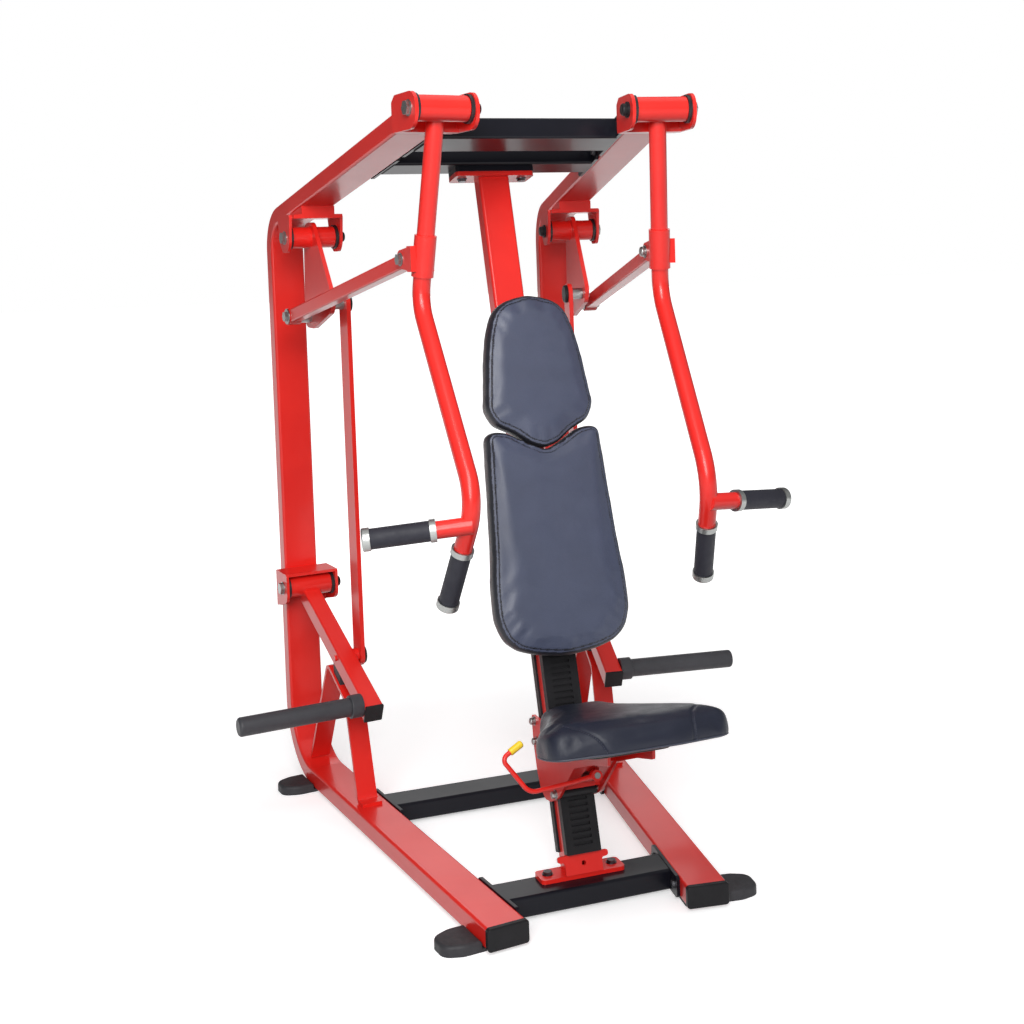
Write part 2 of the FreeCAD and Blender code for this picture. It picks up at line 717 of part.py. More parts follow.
# ---------------------------------------------------------------- fixed brackets
def make_arm_clevis():
    """Fork on the front end of a boom that holds the press arm pivot."""
    u, z = ARM_PIVOT
    ear_pts = [(u - 39, z - 48), (292, z - 48), (292, z + 22), (272, z + 37), (u - 39, z + 37)]
    ear_r = [38, 8, 8, 8, 36]
    body = side_plate(ear_pts, ear_r, EAR_IN, EAR_OUT)
    body = body.fuse(side_plate(ear_pts, ear_r, -EAR_OUT, -EAR_IN))
    web = [(BOOM_END_U - 10, z - 48), (BOOM_END_U, z - 48), (BOOM_END_U, z + 30), (BOOM_END_U - 10, z + 30)]
    body = body.fuse(side_plate(web, 0, -EAR_IN, EAR_IN))
    base = [(250, z - 48), (296, z - 48), (296, z - 40), (250, z - 40)]
    body = body.fuse(side_plate(base, 0, -EAR_IN, EAR_IN))
    return body.cut(bar_x(-100, 100, u, z, SHAFT_R + 0.2)).removeSplitter()


def make_rocker_bracket():
    """Fork under a boom that holds the rocker pivot, with a wedge up to the sloping boom."""
    u, z = ROCKER_PIVOT
    ear_pts = [(u - 48, z + 63), (u + 62, z + 63), (u + 40, z - 20), (u + 20, z - 42), (u - 20, z - 42),
               (u - 38, z - 20)]
    ear_r = [8, 8, 30, 20, 20, 30]
    body = side_plate(ear_pts, ear_r, EAR_IN, EAR_OUT)
    body = body.fuse(side_plate(ear_pts, ear_r, -EAR_OUT, -EAR_IN))
    top = [(u - 66, z + 52), (u + 44, z + 52), (u + 44, z + 63), (u - 66, z + 63)]
    body = body.fuse(side_plate(top, 0, -EAR_IN, EAR_IN))
    low = z + 60
    wedge = [(u - 66, low), (u + 44, low), (u + 44, boom_z(u + 44) - BOOM_RISE),
             (u - 66, boom_z(u - 66) - BOOM_RISE)]
    for n in (-48.0, 40.0):
        body = body.fuse(side_plate(wedge, 0, n, n + 8))
    front = [(u - 66, low), (u - 58, low), (u - 58, boom_z(u - 58) - BOOM_RISE), (u - 66, boom_z(u - 66) - BOOM_RISE)]
    body = body.fuse(side_plate(front, 0, -48, 48))
    return body.cut(bar_x(-100, 100, u, z, SHAFT_R + 0.2)).removeSplitter()


def make_weight_bracket():
    """Fork on the front face of an upright that holds the weight arm pivot."""
    u, z = WEIGHT_PIVOT
    face_u = UPRIGHT_U - TUBE_T / 2
    ear_pts = [(face_u, z - 62), (face_u, z + 45), (u - 38, z + 45), (u - 38, z - 34), (u - 10, z - 46)]
    ear_r = [0, 0, 8, 30, 20]
    body = side_plate(ear_pts, ear_r, EAR_IN, EAR_OUT)
    body = body.fuse(side_plate(ear_pts, ear_r, -EAR_OUT, -EAR_IN))
    top = [(u - 34, z + 37), (face_u, z + 37), (face_u, z + 45), (u - 34, z + 45)]
    body = body.fuse(side_plate(top, 0, -EAR_IN, EAR_IN))
    back = [(face_u - 8, z - 62), (face_u, z - 62), (face_u, z + 45), (face_u - 8, z + 45)]
    body = body.fuse(side_plate(back, 0, -EAR_IN, EAR_IN))
    return body.cut(bar_x(-100, 100, u, z, SHAFT_R + 0.2)).removeSplitter()


arm_clevis = make_arm_clevis()
rocker_bracket = make_rocker_bracket()
weight_bracket = make_weight_bracket()
pivots = (ARM_PIVOT, ROCKER_PIVOT, WEIGHT_PIVOT)


def make_pivot_shaft(u, z):
    shaft = bar_x(-EAR_OUT - 1.0, EAR_OUT + 2.0, u, z, SHAFT_R)
    head = hexagon((EAR_OUT + 2.0, u, z), (1, 0, 0), 30.0, 9.0)
    washer = bar_x(EAR_OUT, EAR_OUT + 2.0, u, z, 19.0)
    return shaft.fuse(head).fuse(washer).removeSplitter()


def make_nut_cap(u, z):
    """Domed plastic nut cover on the inner end of a pivot shaft."""
    base = bar_x(-EAR_OUT - 5.0, -EAR_OUT, u, z, 19.0)
    dome = bar_x(-EAR_OUT - 18.0, -EAR_OUT - 5.0, u, z, 15.0)
    end = [e for e in dome.Edges if abs(e.CenterOfMass.x + EAR_OUT + 18.0) < 0.1]
    dome = dome.makeFillet(6.0, end)
    socket = bar_x(-EAR_OUT - 1.2, -EAR_OUT, u, z, SHAFT_R + 0.1)
    return base.fuse(dome).cut(socket).removeSplitter()


def make_rings(u, z):
    rings = []
    for low, high in ((-EAR_IN, -BARREL_HALF - 0.6), (BARREL_HALF + 0.6, EAR_IN)):
        rings.append(bar_x(low, high, u, z, RING_R, SHAFT_R + 0.1))
    return rings


shafts = []
nut_caps = []
rings = []
for label, side in SIDES:
    parts["arm_clevis_" + label] = on_side(arm_clevis, side)
    parts["rocker_bracket_" + label] = on_side(rocker_bracket, side)
    parts["weight_arm_bracket_" + label] = on_side(weight_bracket, side)
    for u, z in pivots:
        shafts.append(on_side(make_pivot_shaft(u, z), side))
        nut_caps.append(on_side(make_nut_cap(u, z), side))
        rings.extend([on_side(r, side) for r in make_rings(u, z)])
parts["pivot_shafts"] = Part.makeCompound(shafts)
parts["pivot_nut_caps"] = Part.makeCompound(nut_caps)
parts["thrust_rings"] = Part.makeCompound(rings)


# ---------------------------------------------------------------- press arms
def toward(start, end, distance):
    a, b = vec(start), vec(end)
    d = b.sub(a).normalize()
    return tuple(a.add(d.multiply(distance)))


def length_of(start, end):
    return vec(end).sub(vec(start)).Length


HANDLE_LENGTH = length_of(HANDLE_ROOT, HANDLE_END)
LOWER_LENGTH = length_of(ARM_ELBOW, ARM_TIP)
UPPER_RING_AT = 79.0
LOWER_RING_AT = 121.0
CORE_R = 16.0


def grip_set(start, end, ring_at):
    """Inner ring, rubber grip and end ring around one handle."""
    a = toward(start, end, ring_at)
    b = toward(start, end, ring_at + GRIP_RING_LENGTH)
    c = toward(start, end, ring_at + GRIP_RING_LENGTH + GRIP_LENGTH)
    d = toward(start, end, ring_at + GRIP_RING_LENGTH + GRIP_LENGTH + GRIP_CAP_LENGTH)
    inner = rod_between(a, b, GRIP_RING_R, CORE_R + 0.1)
    grip = rod_between(b, c, GRIP_R, CORE_R + 0.1)
    core_end = toward(start, end, ring_at + GRIP_RING_LENGTH + GRIP_LENGTH + 8.0)
    cap = rod_between(c, d, GRIP_RING_R).cut(rod_between(c, core_end, CORE_R + 0.1))
    rim = [e for e in cap.Edges if e.CenterOfMass.sub(vec(d)).Length < 0.5]
    cap = cap.makeFillet(4.0, rim)
    return [inner, cap], grip, a, core_end


upper_rings, upper_grip, upper_shoulder, upper_core_end = grip_set(HANDLE_ROOT, HANDLE_END, UPPER_RING_AT)
lower_rings, lower_grip, lower_shoulder, lower_core_end = grip_set(ARM_ELBOW, ARM_TIP, LOWER_RING_AT)


def make_press_arm():
    u, z = ARM_PIVOT
    path = [ARM_TOP, ARM_KNEE, ARM_ELBOW, lower_shoulder]
    radii = [0.0, KNEE_R, ELBOW_R, 0.0]
    tube = pipe_along(path, radii, ARM_TUBE_R)
    hollow = pipe_along(path, radii, ARM_TUBE_R - ARM_TUBE_WALL)
    sleeve = rod_between(toward(ARM_TOP, ARM_KNEE, SLEEVE_AT[0]), toward(ARM_TOP, ARM_KNEE, SLEEVE_AT[1]), SLEEVE_R)
    stub = rod_between(HANDLE_ROOT, upper_shoulder, STUB_R)
    fu, fz = LINK_FRONT
    ears = None
    for low, high in CLEVIS_EARS:
        pts = [(fu - 62, fz + 30), (fu - 62, fz - 30), (fu, fz - 22), (fu + 22, fz - 22), (fu + 22, fz + 22),
               (fu, fz + 22)]
        ear = side_plate(pts, [0, 0, 10, 20, 20, 10], low, high)
        ears = ear if ears is None else ears.fuse(ear)
    bridge = side_plate([(fu - 62, fz + 30), (fu - 62, fz - 30), (fu - 38, fz - 30), (fu - 38, fz + 30)], 0,
                        CLEVIS_EARS[0][0], CLEVIS_EARS[1][1])
    body = tube.fuse(sleeve).fuse(stub).fuse(ears).fuse(bridge)
    body = body.cut(hollow)
    body = body.fuse(bar_x(-BARREL_HALF, BARREL_HALF, u, z, BARREL_R))
    body = body.cut(bar_x(-BARREL_HALF - 1, BARREL_HALF + 1, u, z, 24.0))
    for low, high in ((-BARREL_HALF, -BARREL_HALF + 20), (BARREL_HALF - 20, BARREL_HALF)):
        body = body.fuse(bar_x(low, high, u, z, 24.5, SHAFT_R + RUNNING_GAP))
    core = rod_between(toward(ARM_ELBOW, ARM_TIP, LOWER_RING_AT - 10.0), lower_core_end, CORE_R, CORE_R - 3.0)
    plug = rod_between(toward(ARM_ELBOW, ARM_TIP, LOWER_RING_AT - 8.0), lower_shoulder, ARM_TUBE_R - 1.0,
                       CORE_R - 3.0)
    upper_core = rod_between(toward(HANDLE_ROOT, HANDLE_END, UPPER_RING_AT - 5.0), upper_core_end, CORE_R)
    body = body.fuse(core).fuse(plug).fuse(upper_core)
    body = body.cut(bar_x(CLEVIS_EARS[0][0] - 5, CLEVIS_EARS[1][1] + 5, fu, fz, PIN_R + 0.1))
    return body.removeSplitter()


press_arm = make_press_arm()


def make_link_bolt():
    fu, fz = LINK_FRONT
    low, high = CLEVIS_EARS[0][0], CLEVIS_EARS[1][1]
    bolt = bar_x(low, high + 2.0, fu, fz, PIN_R)
    bolt = bolt.fuse(bar_x(high, high + 2.0, fu, fz, 16.0))
    return bolt.fuse(hexagon((high + 2.0, fu, fz), (1, 0, 0), 24.0, 8.0)).removeSplitter()


def make_link_nut():
    fu, fz = LINK_FRONT
    low = CLEVIS_EARS[0][0]
    base = bar_x(low - 3.0, low - 0.1, fu, fz, 16.0)
    dome = bar_x(low - 14.0, low - 3.0, fu, fz, 12.5)
    end = [e for e in dome.Edges if abs(e.CenterOfMass.x - low + 14.0) < 0.1]
    return base.fuse(dome.makeFillet(5.0, end)).removeSplitter()


# ---------------------------------------------------------------- link, rocker, push rod
LINK_FRONT_N = 25.0


def make_link():
    fu, fz = LINK_FRONT
    bu, bz = LINK_REAR
    start = (LINK_FRONT_N, fu, fz)
    end = (LINK_REAR_N, bu, bz)
    run = vec(end).sub(vec(start))
    tube = rect_tube(run.Length, LINK_WIDTH, LINK_HEIGHT, TUBE_WALL, 4.0)
    pitch = math.degrees(math.asin(run.z / run.Length))
    yaw = math.degrees(math.atan2(run.y, run.x))
    tube.rotate(V(0, 0, 0), V(0, 1, 0), -pitch)
    tube.rotate(V(0, 0, 0), V(0, 0, 1), yaw)
    tube.translate(vec(start))
    half = LINK_WIDTH / 2
    front = bar_x(LINK_FRONT_N - half - 1, LINK_FRONT_N + half + 1, fu, fz, LINK_HEIGHT / 2)
    rear = bar_x(LINK_REAR_N - half, LINK_REAR_N + half, bu, bz, 24.0)
    body = tube.fuse(front).fuse(rear)
    body = body.cut(bar_x(-100, 200, fu, fz, PIN_R + RUNNING_GAP))
    return body.cut(bar_x(-100, 200, bu, bz, PIN_R + LINK_SLACK)).removeSplitter()


LINK_SLACK = 7.0
ROD_SLACK = 9.0


def make_rocker():
    u, z = ROCKER_PIVOT
    low, high = ROCKER_PLATE_N
    pts = [(u - 28, z + 42), (u + 42, z + 42), (1182, 1350), (1108, 1347), (962, 1394), (944, 1432)]
    plate = side_plate(pts, [30, 40, 28, 40, 26, 26], low, high)
    body = plate.fuse(bar_x(-BARREL_HALF, BARREL_HALF, u, z, BARREL_R))
    body = body.cut(bar_x(-BARREL_HALF - 1, BARREL_HALF + 1, u, z, 24.0))
    for n_low, n_high in ((-BARREL_HALF, -BARREL_HALF + 20), (BARREL_HALF - 20, BARREL_HALF)):
        body = body.fuse(bar_x(n_low, n_high, u, z, 24.5, SHAFT_R + RUNNING_GAP))
    body = body.cut(bar_x(-40, 40, LINK_REAR[0], LINK_REAR[1], PIN_R + 0.1))
    body = body.cut(bar_x(-40, 40, ROD_TOP[0], ROD_TOP[1], PIN_R + 0.1))
    return body.removeSplitter()


def make_rocker_pins():
    """Two stepped pins bolted to the rocker plate: one takes the link, the other the push rod."""
    low, high = ROCKER_PLATE_N
    bu, bz = LINK_REAR
    link_low = LINK_REAR_N - LINK_WIDTH / 2
    link_high = LINK_REAR_N + LINK_WIDTH / 2
    pin = bar_x(low - 2.0, link_high + 1.0, bu, bz, PIN_R)
    pin = pin.fuse(bar_x(high, link_low - 2.0, bu, bz, 20.0))
    pin = pin.fuse(bar_x(link_high + 1.0, link_high + 4.0, bu, bz, 22.0))
    pin = pin.fuse(hexagon((link_high + 4.0, bu, bz), (1, 0, 0), 26.0, 8.0))
    pin = pin.fuse(hexagon((low, bu, bz), (-1, 0, 0), 24.0, 8.0))
    pu, pz = ROD_TOP
    other = bar_x(ROD_N[0], high + 2.0, pu, pz, PIN_R)
    other = other.fuse(bar_x(ROD_N[1] + 0.5, low, pu, pz, 16.0))
    other = other.fuse(hexagon((high, pu, pz), (1, 0, 0), 24.0, 8.0))
    return [pin.removeSplitter(), other.removeSplitter()]


def make_rod():
    pu, pz = ROD_TOP
    qu, qz = ROD_BOTTOM
    half = ROD_WIDTH / 2
    pts = [(pu - half, pz + half), (pu + half, pz + half), (qu + half, qz - half), (qu - half, qz - half)]
    bar = side_plate(pts, half - 0.5, ROD_N[0], ROD_N[1])
    bar = bar.cut(bar_x(-100, 0, pu, pz, PIN_R + RUNNING_GAP))
    return bar.cut(bar_x(-100, 0, qu, qz, PIN_R + ROD_SLACK))


def make_rod_caps():
    caps = []
    for u, z in (ROD_TOP, ROD_BOTTOM):
        cap = bar_x(ROD_N[0] - 9.0, ROD_N[0] - 0.1, u, z, 26.0)
        rim = [e for e in cap.Edges if abs(e.CenterOfMass.x - ROD_N[0] + 9.0) < 0.1]
        cap = cap.makeFillet(4.0, rim)
        caps.append(cap.cut(bar_x(ROD_N[0] - 3.0, ROD_N[0], u, z, PIN_R + ROD_SLACK)))
    return caps


# ---------------------------------------------------------------- weight arm and horn
def make_weight_arm():
    u, z = WEIGHT_PIVOT
    slope = math.atan(WEIGHT_ARM_SLOPE)
    length = (u - WEIGHT_ARM_END_U) / math.cos(slope)
    tube = rect_tube(length, WEIGHT_TUBE, WEIGHT_TUBE, TUBE_WALL, 5.0)
    tube.rotate(V(0, 0, 0), V(0, 0, 1), 90)
    tube.rotate(V(0, 0, 0), V(1, 0, 0), math.degrees(slope))
    tube.translate(V(0, WEIGHT_ARM_END_U, arm_mid_z(WEIGHT_ARM_END_U)))
    body = tube.fuse(bar_x(-BARREL_HALF, BARREL_HALF, u, z, BARREL_R))
    body = body.cut(bar_x(-BARREL_HALF - 1, BARREL_HALF + 1, u, z, 24.0))
    for n_low, n_high in ((-BARREL_HALF, -BARREL_HALF + 20), (BARREL_HALF - 20, BARREL_HALF)):
        body = body.fuse(bar_x(n_low, n_high, u, z, 24.5, SHAFT_R + RUNNING_GAP))
    qu, qz = ROD_BOTTOM
    half = WEIGHT_TUBE / 2
    body = body.fuse(bar_x(ROD_N[0], half + 6.0, qu, qz, PIN_R))
    body = body.fuse(bar_x(ROD_N[1] + 0.5, -half + 1.0, qu, qz, 19.0))
    return body.removeSplitter()


def make_arm_end_cap():
    """Plug in the front end of the weight arm, with its plate square to the tube."""
    slope = math.atan(WEIGHT_ARM_SLOPE)
    half = WEIGHT_TUBE / 2

    def box(size, start, end):
        pts = [(-size, -size), (size, -size), (size, size), (-size, size)]
        return face_of(pts, 3.0, lambda a, b: V(a, start, b)).extrude(V(0, end - start, 0))
    cap = box(half + 0.5, -5.0, 0.0).fuse(box(half - TUBE_WALL - 0.3, -2.0, 22.0))
    cap.rotate(V(0, 0, 0), V(1, 0, 0), math.degrees(slope))
    cap.translate(V(0, WEIGHT_ARM_END_U, arm_mid_z(WEIGHT_ARM_END_U)))
    return cap.removeSplitter()


def make_horn():
    u, z = HORN_AXIS
    half = WEIGHT_TUBE / 2
    horn = bar_x(half, HORN_END_N, u, z, HORN_R)
    end = [e for e in horn.Edges if abs(e.CenterOfMass.x - HORN_END_N) < 0.1]
    horn = horn.makeFillet(8.0, end)
    horn = horn.cut(bar_x(half, HORN_END_N - 40.0, u, z, HORN_R - 4.0))
    collar = bar_x(half, HORN_COLLAR_END_N, u, z, HORN_COLLAR_R, HORN_R - 1.0)
    rim = [e for e in collar.Edges if abs(e.CenterOfMass.x - HORN_COLLAR_END_N) < 0.1 and e.Length > 180]
    collar = collar.makeFillet(3.0, rim)
    return horn.fuse(collar).removeSplitter()


link_bar = make_link()
rocker = make_rocker()
rocker_pins = make_rocker_pins()
push_rod = make_rod()
rod_caps = make_rod_caps()
weight_arm = make_weight_arm()
arm_end_cap = make_arm_end_cap()
horn = make_horn()

for label, side in SIDES:
    parts["press_arm_" + label] = on_side(press_arm, side)
    parts["arm_grips_" + label] = on_side(Part.makeCompound([upper_grip, lower_grip]), side)
    parts["grip_rings_" + label] = on_side(Part.makeCompound(upper_rings + lower_rings), side)
    parts["link_bolt_" + label] = on_side(Part.makeCompound([make_link_bolt(), make_link_nut()]), side)
    parts["link_bar_" + label] = on_side(link_bar, side)
    parts["rocker_" + label] = on_side(rocker, side)
    parts["rocker_pins_" + label] = on_side(Part.makeCompound(rocker_pins), side)
    parts["push_rod_" + label] = on_side(push_rod, side)
    parts["rod_bearing_caps_" + label] = on_side(Part.makeCompound(rod_caps), side)
    parts["weight_arm_" + label] = on_side(weight_arm, side)
    parts["weight_arm_cap_" + label] = on_side(arm_end_cap, side)
    parts["weight_horn_" + label] = on_side(horn, side)

# ---------------------------------------------------------------- headrest and backrest
HEAD_HALF = [(0, 384), (36, 396), (73, 425), (118, 446), (138, 482), (132, 526), (124, 600), (112, 668),
             (86, 742), (0, 762)]
HEAD_R = [30, 20, 30, 25, 40, 200, 200, 200, 70, 90]
BACK_HALF = [(0, -117), (74, -106), (122, -92), (152, -66), (169, -19), (168, 60), (160, 132), (151, 287),
             (144, 424), (92, 416), (47, 388), (0, 364)]
BACK_R = [200, 120, 80, 60, 90, 300, 600, 900, 20, 60, 60, 40]


def inset(points, amount):
    """Shrink an outline towards its middle by about the same distance all round."""
    mid = sum(p[1] for p in points) / len(points)
    out = []
    for x, t in points:
        size = math.hypot(x, t - mid)
        out.append((x * (1 - amount / size), mid + (t - mid) * (1 - amount / size)))
    return out


def make_pad(half, radii):
    points, full_radii = mirrored(half, radii)
    pad = pad_solid(points, full_radii, 0.0, PAD_T)
    board = pad_solid(inset(points, 16.0), [r * 0.9 for r in full_radii], PAD_T, PAD_T + BOARD_T)
    return pad, board


head_pad, head_board = make_pad(HEAD_HALF, HEAD_R)
back_pad, back_board = make_pad(BACK_HALF, BACK_R)


def pad_bracket(t_low, t_high, half):
    """Box stand-off from the column front to the back of a pad board."""
    back_e = PAD_T + BOARD_T
    low = on_pad(0, t_low, back_e)
    high = on_pad(0, t_high, back_e)

    def column_face_y(z):
        return COLUMN_FOOT_Y + (z - COLUMN_FOOT_Z) * math.tan(lean)
    pts = [(low.y, low.z), (column_face_y(low.z), low.z), (column_face_y(high.z), high.z), (high.y, high.z)]
    outer = face_of(pts, 0, lambda y, z: V(-half, y, z)).extrude(V(2 * half, 0, 0))
    inner = face_of(pts, 0, lambda y, z: V(-half + 5, y, z)).extrude(V(2 * half - 10, 0, 0))
    plate = pad_solid([(-half - 25, t_low), (half + 25, t_low), (half + 25, t_high), (-half - 25, t_high)],
                      8.0, back_e, back_e + 6.0)
    return outer.cut(inner).fuse(plate).removeSplitter()


parts["headrest_pad"] = head_pad
parts["backrest_pad"] = back_pad
parts["pad_boards"] = Part.makeCompound([head_board, back_board])
parts["pad_brackets"] = Part.makeCompound(
    [pad_bracket(-40.0, 40.0, 36.0), pad_bracket(240.0, 320.0, 36.0), pad_bracket(500.0, 600.0, 36.0)])

# ---------------------------------------------------------------- seat carriage
PLATE_X = (49.0, 56.0)
CARRIAGE_PTS = [(330, 408), (320, 335), (302, 278), (278, 238), (246, 222), (210, 228), (157, 254),
                (118, 293), (48, 362), (-72, 409), (-156, 432), (-156, 452.8), (205, 376.1), (240, 408)]
CARRIAGE_R = [10, 60, 60, 24, 24, 30, 60, 60, 40, 60, 6, 0, 10, 8]
FRONT_ROLLER_R = 11.5
REAR_ROLLER_R = 8.0
LATCH_S = FIRST_SLOT_S + 11 * SLOT_PITCH + 3.5
LATCH_R = 7.0
LEVER_D = 166.0


def roller_axes():
    """Column coordinates and radius of each carriage roller."""
    front_d = TRACK_T + 0.5 + FRONT_ROLLER_R
    rear_d = -COLUMN_T - 0.5 - REAR_ROLLER_R
    return ((200.0, front_d, FRONT_ROLLER_R), (300.0, front_d, FRONT_ROLLER_R),
            (322.0, rear_d, REAR_ROLLER_R), (370.0, rear_d, REAR_ROLLER_R))


def carriage_side(x_low):
    face = face_of(CARRIAGE_PTS, CARRIAGE_R, lambda y, z: V(x_low, y, z))
    return face.extrude(V(PLATE_X[1] - PLATE_X[0], 0, 0))


def make_carriage():
    body = carriage_side(PLATE_X[0]).fuse(carriage_side(-PLATE_X[1]))
    inner = PLATE_X[0]
    front = [(52, 364), (126, 296), (131, 301.5), (57, 369.5)]
    front = face_of(front, 0, lambda y, z: V(-inner, y, z)).extrude(V(2 * inner, 0, 0))
    hole = rod_between(tuple(along_column(0, LATCH_S, 90.0)), tuple(along_column(0, LATCH_S, 170.0)), 21.0)
    body = body.fuse(front.cut(hole))
    shelf = column_plate([(LATCH_S - 32, 44.0), (LATCH_S + 28, 44.0), (LATCH_S + 28, 52.0), (LATCH_S - 32, 52.0)],
                         0, -inner, inner)
    tube = rod_between(tuple(along_column(0, LATCH_S, 38.0)), tuple(along_column(0, LATCH_S, 84.0)), 17.0)
    body = body.fuse(shelf).fuse(tube)
    bore_end = tuple(along_column(0, LATCH_S, 90.0))
    body = body.cut(rod_between(tuple(along_column(0, LATCH_S, 20.0)), bore_end, LATCH_R + RUNNING_GAP))
    top = [(155.0, -20.0), (445.0, -20.0), (445.0, -14.3), (155.0, -14.3)]
    top = [(on_seat(0, r, h).y, on_seat(0, r, h).z) for r, h in top]
    body = body.fuse(face_of(top, 0, lambda y, z: V(-inner, y, z)).extrude(V(2 * inner, 0, 0)))
    for s, d, radius in roller_axes():
        body = body.cut(column_bar(-70, 70, s, d, 5.2))
    return body.removeSplitter()


def make_rollers():
    rollers = []
    for s, d, radius in roller_axes():
        rollers.append(column_bar(-44.0, 44.0, s, d, radius, 5.2))
    return rollers


def make_roller_axles():
    axles = []
    reach = PLATE_X[1]
    for s, d, radius in roller_axes():
        axle = column_bar(-reach - 1.0, reach + 2.0, s, d, 5.0)
        axle = axle.fuse(column_bar(reach, reach + 2.0, s, d, 11.0))
        axle = axle.fuse(hexagon(tuple(along_column(reach + 2.0, s, d)), (1, 0, 0), 16.0, 7.0))
        axles.append(axle.removeSplitter())
    return axles


def make_axle_nuts():
    nuts = []
    reach = PLATE_X[1]
    for s, d, radius in roller_axes():
        base = column_bar(-reach - 3.0, -reach, s, d, 11.0)
        dome = column_bar(-reach - 13.0, -reach - 3.0, s, d, 8.5)
        end = [e for e in dome.Edges if abs(e.CenterOfMass.x + reach + 13.0) < 0.1]
        dome = dome.makeFillet(3.5, end)
        nuts.append(base.fuse(dome).cut(column_bar(-reach - 1.2, -reach, s, d, 5.2)).removeSplitter())
    return nuts


SEAT_HALF = [(0, 0), (84, 0), (213, 26), (217, 122), (150, 262), (100, 375), (92, 470), (0, 470)]
SEAT_R = [0, 200, 42, 120, 400, 200, 36, 0]
seat_points, seat_radii = mirrored(SEAT_HALF, SEAT_R)
parts["seat_cushion"] = seat_solid(seat_points, seat_radii, 0.0, SEAT_T)
parts["seat_board"] = seat_solid(inset(seat_points, 30.0), [r * 0.9 for r in seat_radii], -SEAT_BOARD_T, 0.0)
parts["seat_carriage"] = make_carriage()
parts["seat_rollers"] = Part.makeCompound(make_rollers())
parts["roller_axles"] = Part.makeCompound(make_roller_axles() + make_axle_nuts())


# ---------------------------------------------------------------- seat lever and latch pin
def lever_point(x, s):
    p = along_column(x, s, LEVER_D)
    return (p.x, p.y, p.z)


LEVER_PATH = [(0, LATCH_S), (-60, LATCH_S - 7), (-164, LATCH_S - 14), (-220, 308), (-172, 334)]
LEVER_R = 5.5
LEVER_SLEEVE = 42.0


def make_lever():
    points = [lever_point(x, s) for x, s in LEVER_PATH]
    rod = pipe_along(points, [0, 200, 32, 14, 0], LEVER_R)
    near = tuple(along_column(0, LATCH_S, LEVER_D - 9.0))
    far = tuple(along_column(0, LATCH_S, LEVER_D + 9.0))
    hub = rod_between(near, far, 13.0)
    body = rod.fuse(hub)
    return body.cut(rod_between(near, far, LATCH_R + RUNNING_GAP)).removeSplitter()


def make_lever_tip():
    """Soft sleeve over the last stretch of the lever."""
    start = lever_point(*LEVER_PATH[-1])
    before = lever_point(*LEVER_PATH[-2])
    a = toward(start, before, 30.0)
    b = toward(before, start, length_of(before, start) + 5.0)
    sleeve = rod_between(a, b, LEVER_R + 3.0)
    end = [e for e in sleeve.Edges if e.CenterOfMass.sub(vec(b)).Length < 0.5]
    sleeve = sleeve.makeFillet(5.0, end)
    return sleeve.cut(rod_between(a, start, LEVER_R + 0.05))


def make_latch():
    """Latch pin: flat tip in line with a slot of the track cover, round shank out to the lever hub."""
    tip = track_box(LATCH_S - 2.8, LATCH_S + 2.8, TRACK_T + 0.4, TRACK_T + 8.0, 20.0, 1.0)
    shank = rod_between(tuple(along_column(0, LATCH_S, TRACK_T + 1.0)), tuple(along_column(0, LATCH_S, LEVER_D + 12.0)),
                        LATCH_R)
    return tip.fuse(shank).removeSplitter()


parts["seat_lever"] = make_lever()
parts["seat_lever_tip"] = make_lever_tip()
parts["seat_latch_pin"] = make_latch()

# ---------------------------------------------------------------- place and export
extents = [s.optimalBoundingBox(False) for s in parts.values()]
low_y = min(b.YMin for b in extents)
high_y = max(b.YMax for b in extents)
ORIGIN_Y = round((low_y + high_y) / 2, 1)
for name in sorted(parts):
    shape = parts[name]
    shape.translate(V(0, -ORIGIN_Y, 0))
    save(name, shape)
box = Part.makeCompound(list(parts.values())).optimalBoundingBox(False)
print("origin y", ORIGIN_Y)
print("size x %.1f y %.1f z %.1f" % (box.XLength, box.YLength, box.ZLength))
print("low corner %.1f %.1f %.1f" % (box.XMin, box.YMin, box.ZMin))
for name in sorted(parts):
    shape = parts[name]
    if not shape.isValid() or any(s.Volume <= 0 for s in shape.Solids):
        print("check", name)
print(len(parts), "nodes")
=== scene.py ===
import math

import bmesh
import bpy
from mathutils import Matrix, Vector
from mathutils.bvhtree import BVHTree
from mathutils.kdtree import KDTree


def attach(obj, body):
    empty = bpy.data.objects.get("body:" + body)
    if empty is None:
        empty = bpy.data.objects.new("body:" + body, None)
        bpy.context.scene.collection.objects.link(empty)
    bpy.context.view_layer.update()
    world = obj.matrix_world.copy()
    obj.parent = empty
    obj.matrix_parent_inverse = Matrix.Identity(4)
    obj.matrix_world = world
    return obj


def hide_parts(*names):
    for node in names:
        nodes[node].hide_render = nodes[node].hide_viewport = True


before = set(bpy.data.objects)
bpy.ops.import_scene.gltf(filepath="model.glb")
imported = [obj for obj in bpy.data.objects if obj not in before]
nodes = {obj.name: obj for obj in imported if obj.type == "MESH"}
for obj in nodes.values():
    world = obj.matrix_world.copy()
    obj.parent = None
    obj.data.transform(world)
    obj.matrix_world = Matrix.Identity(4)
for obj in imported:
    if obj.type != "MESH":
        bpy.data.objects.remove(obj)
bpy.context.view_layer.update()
scene = bpy.context.scene

ORIGIN_Y = 0.5633
MM = 0.001


# ---------------------------------------------------------------- node helpers
def new_material(name):
    mat = bpy.data.materials.new(name)
    mat.use_nodes = True
    tree = mat.node_tree
    shader = tree.nodes["Principled BSDF"]
    return mat, tree, shader


def add(tree, kind, **values):
    node = tree.nodes.new(kind)
    for key, value in values.items():
        if key in node.inputs:
            node.inputs[key].default_value = value
        else:
            setattr(node, key, value)
    return node


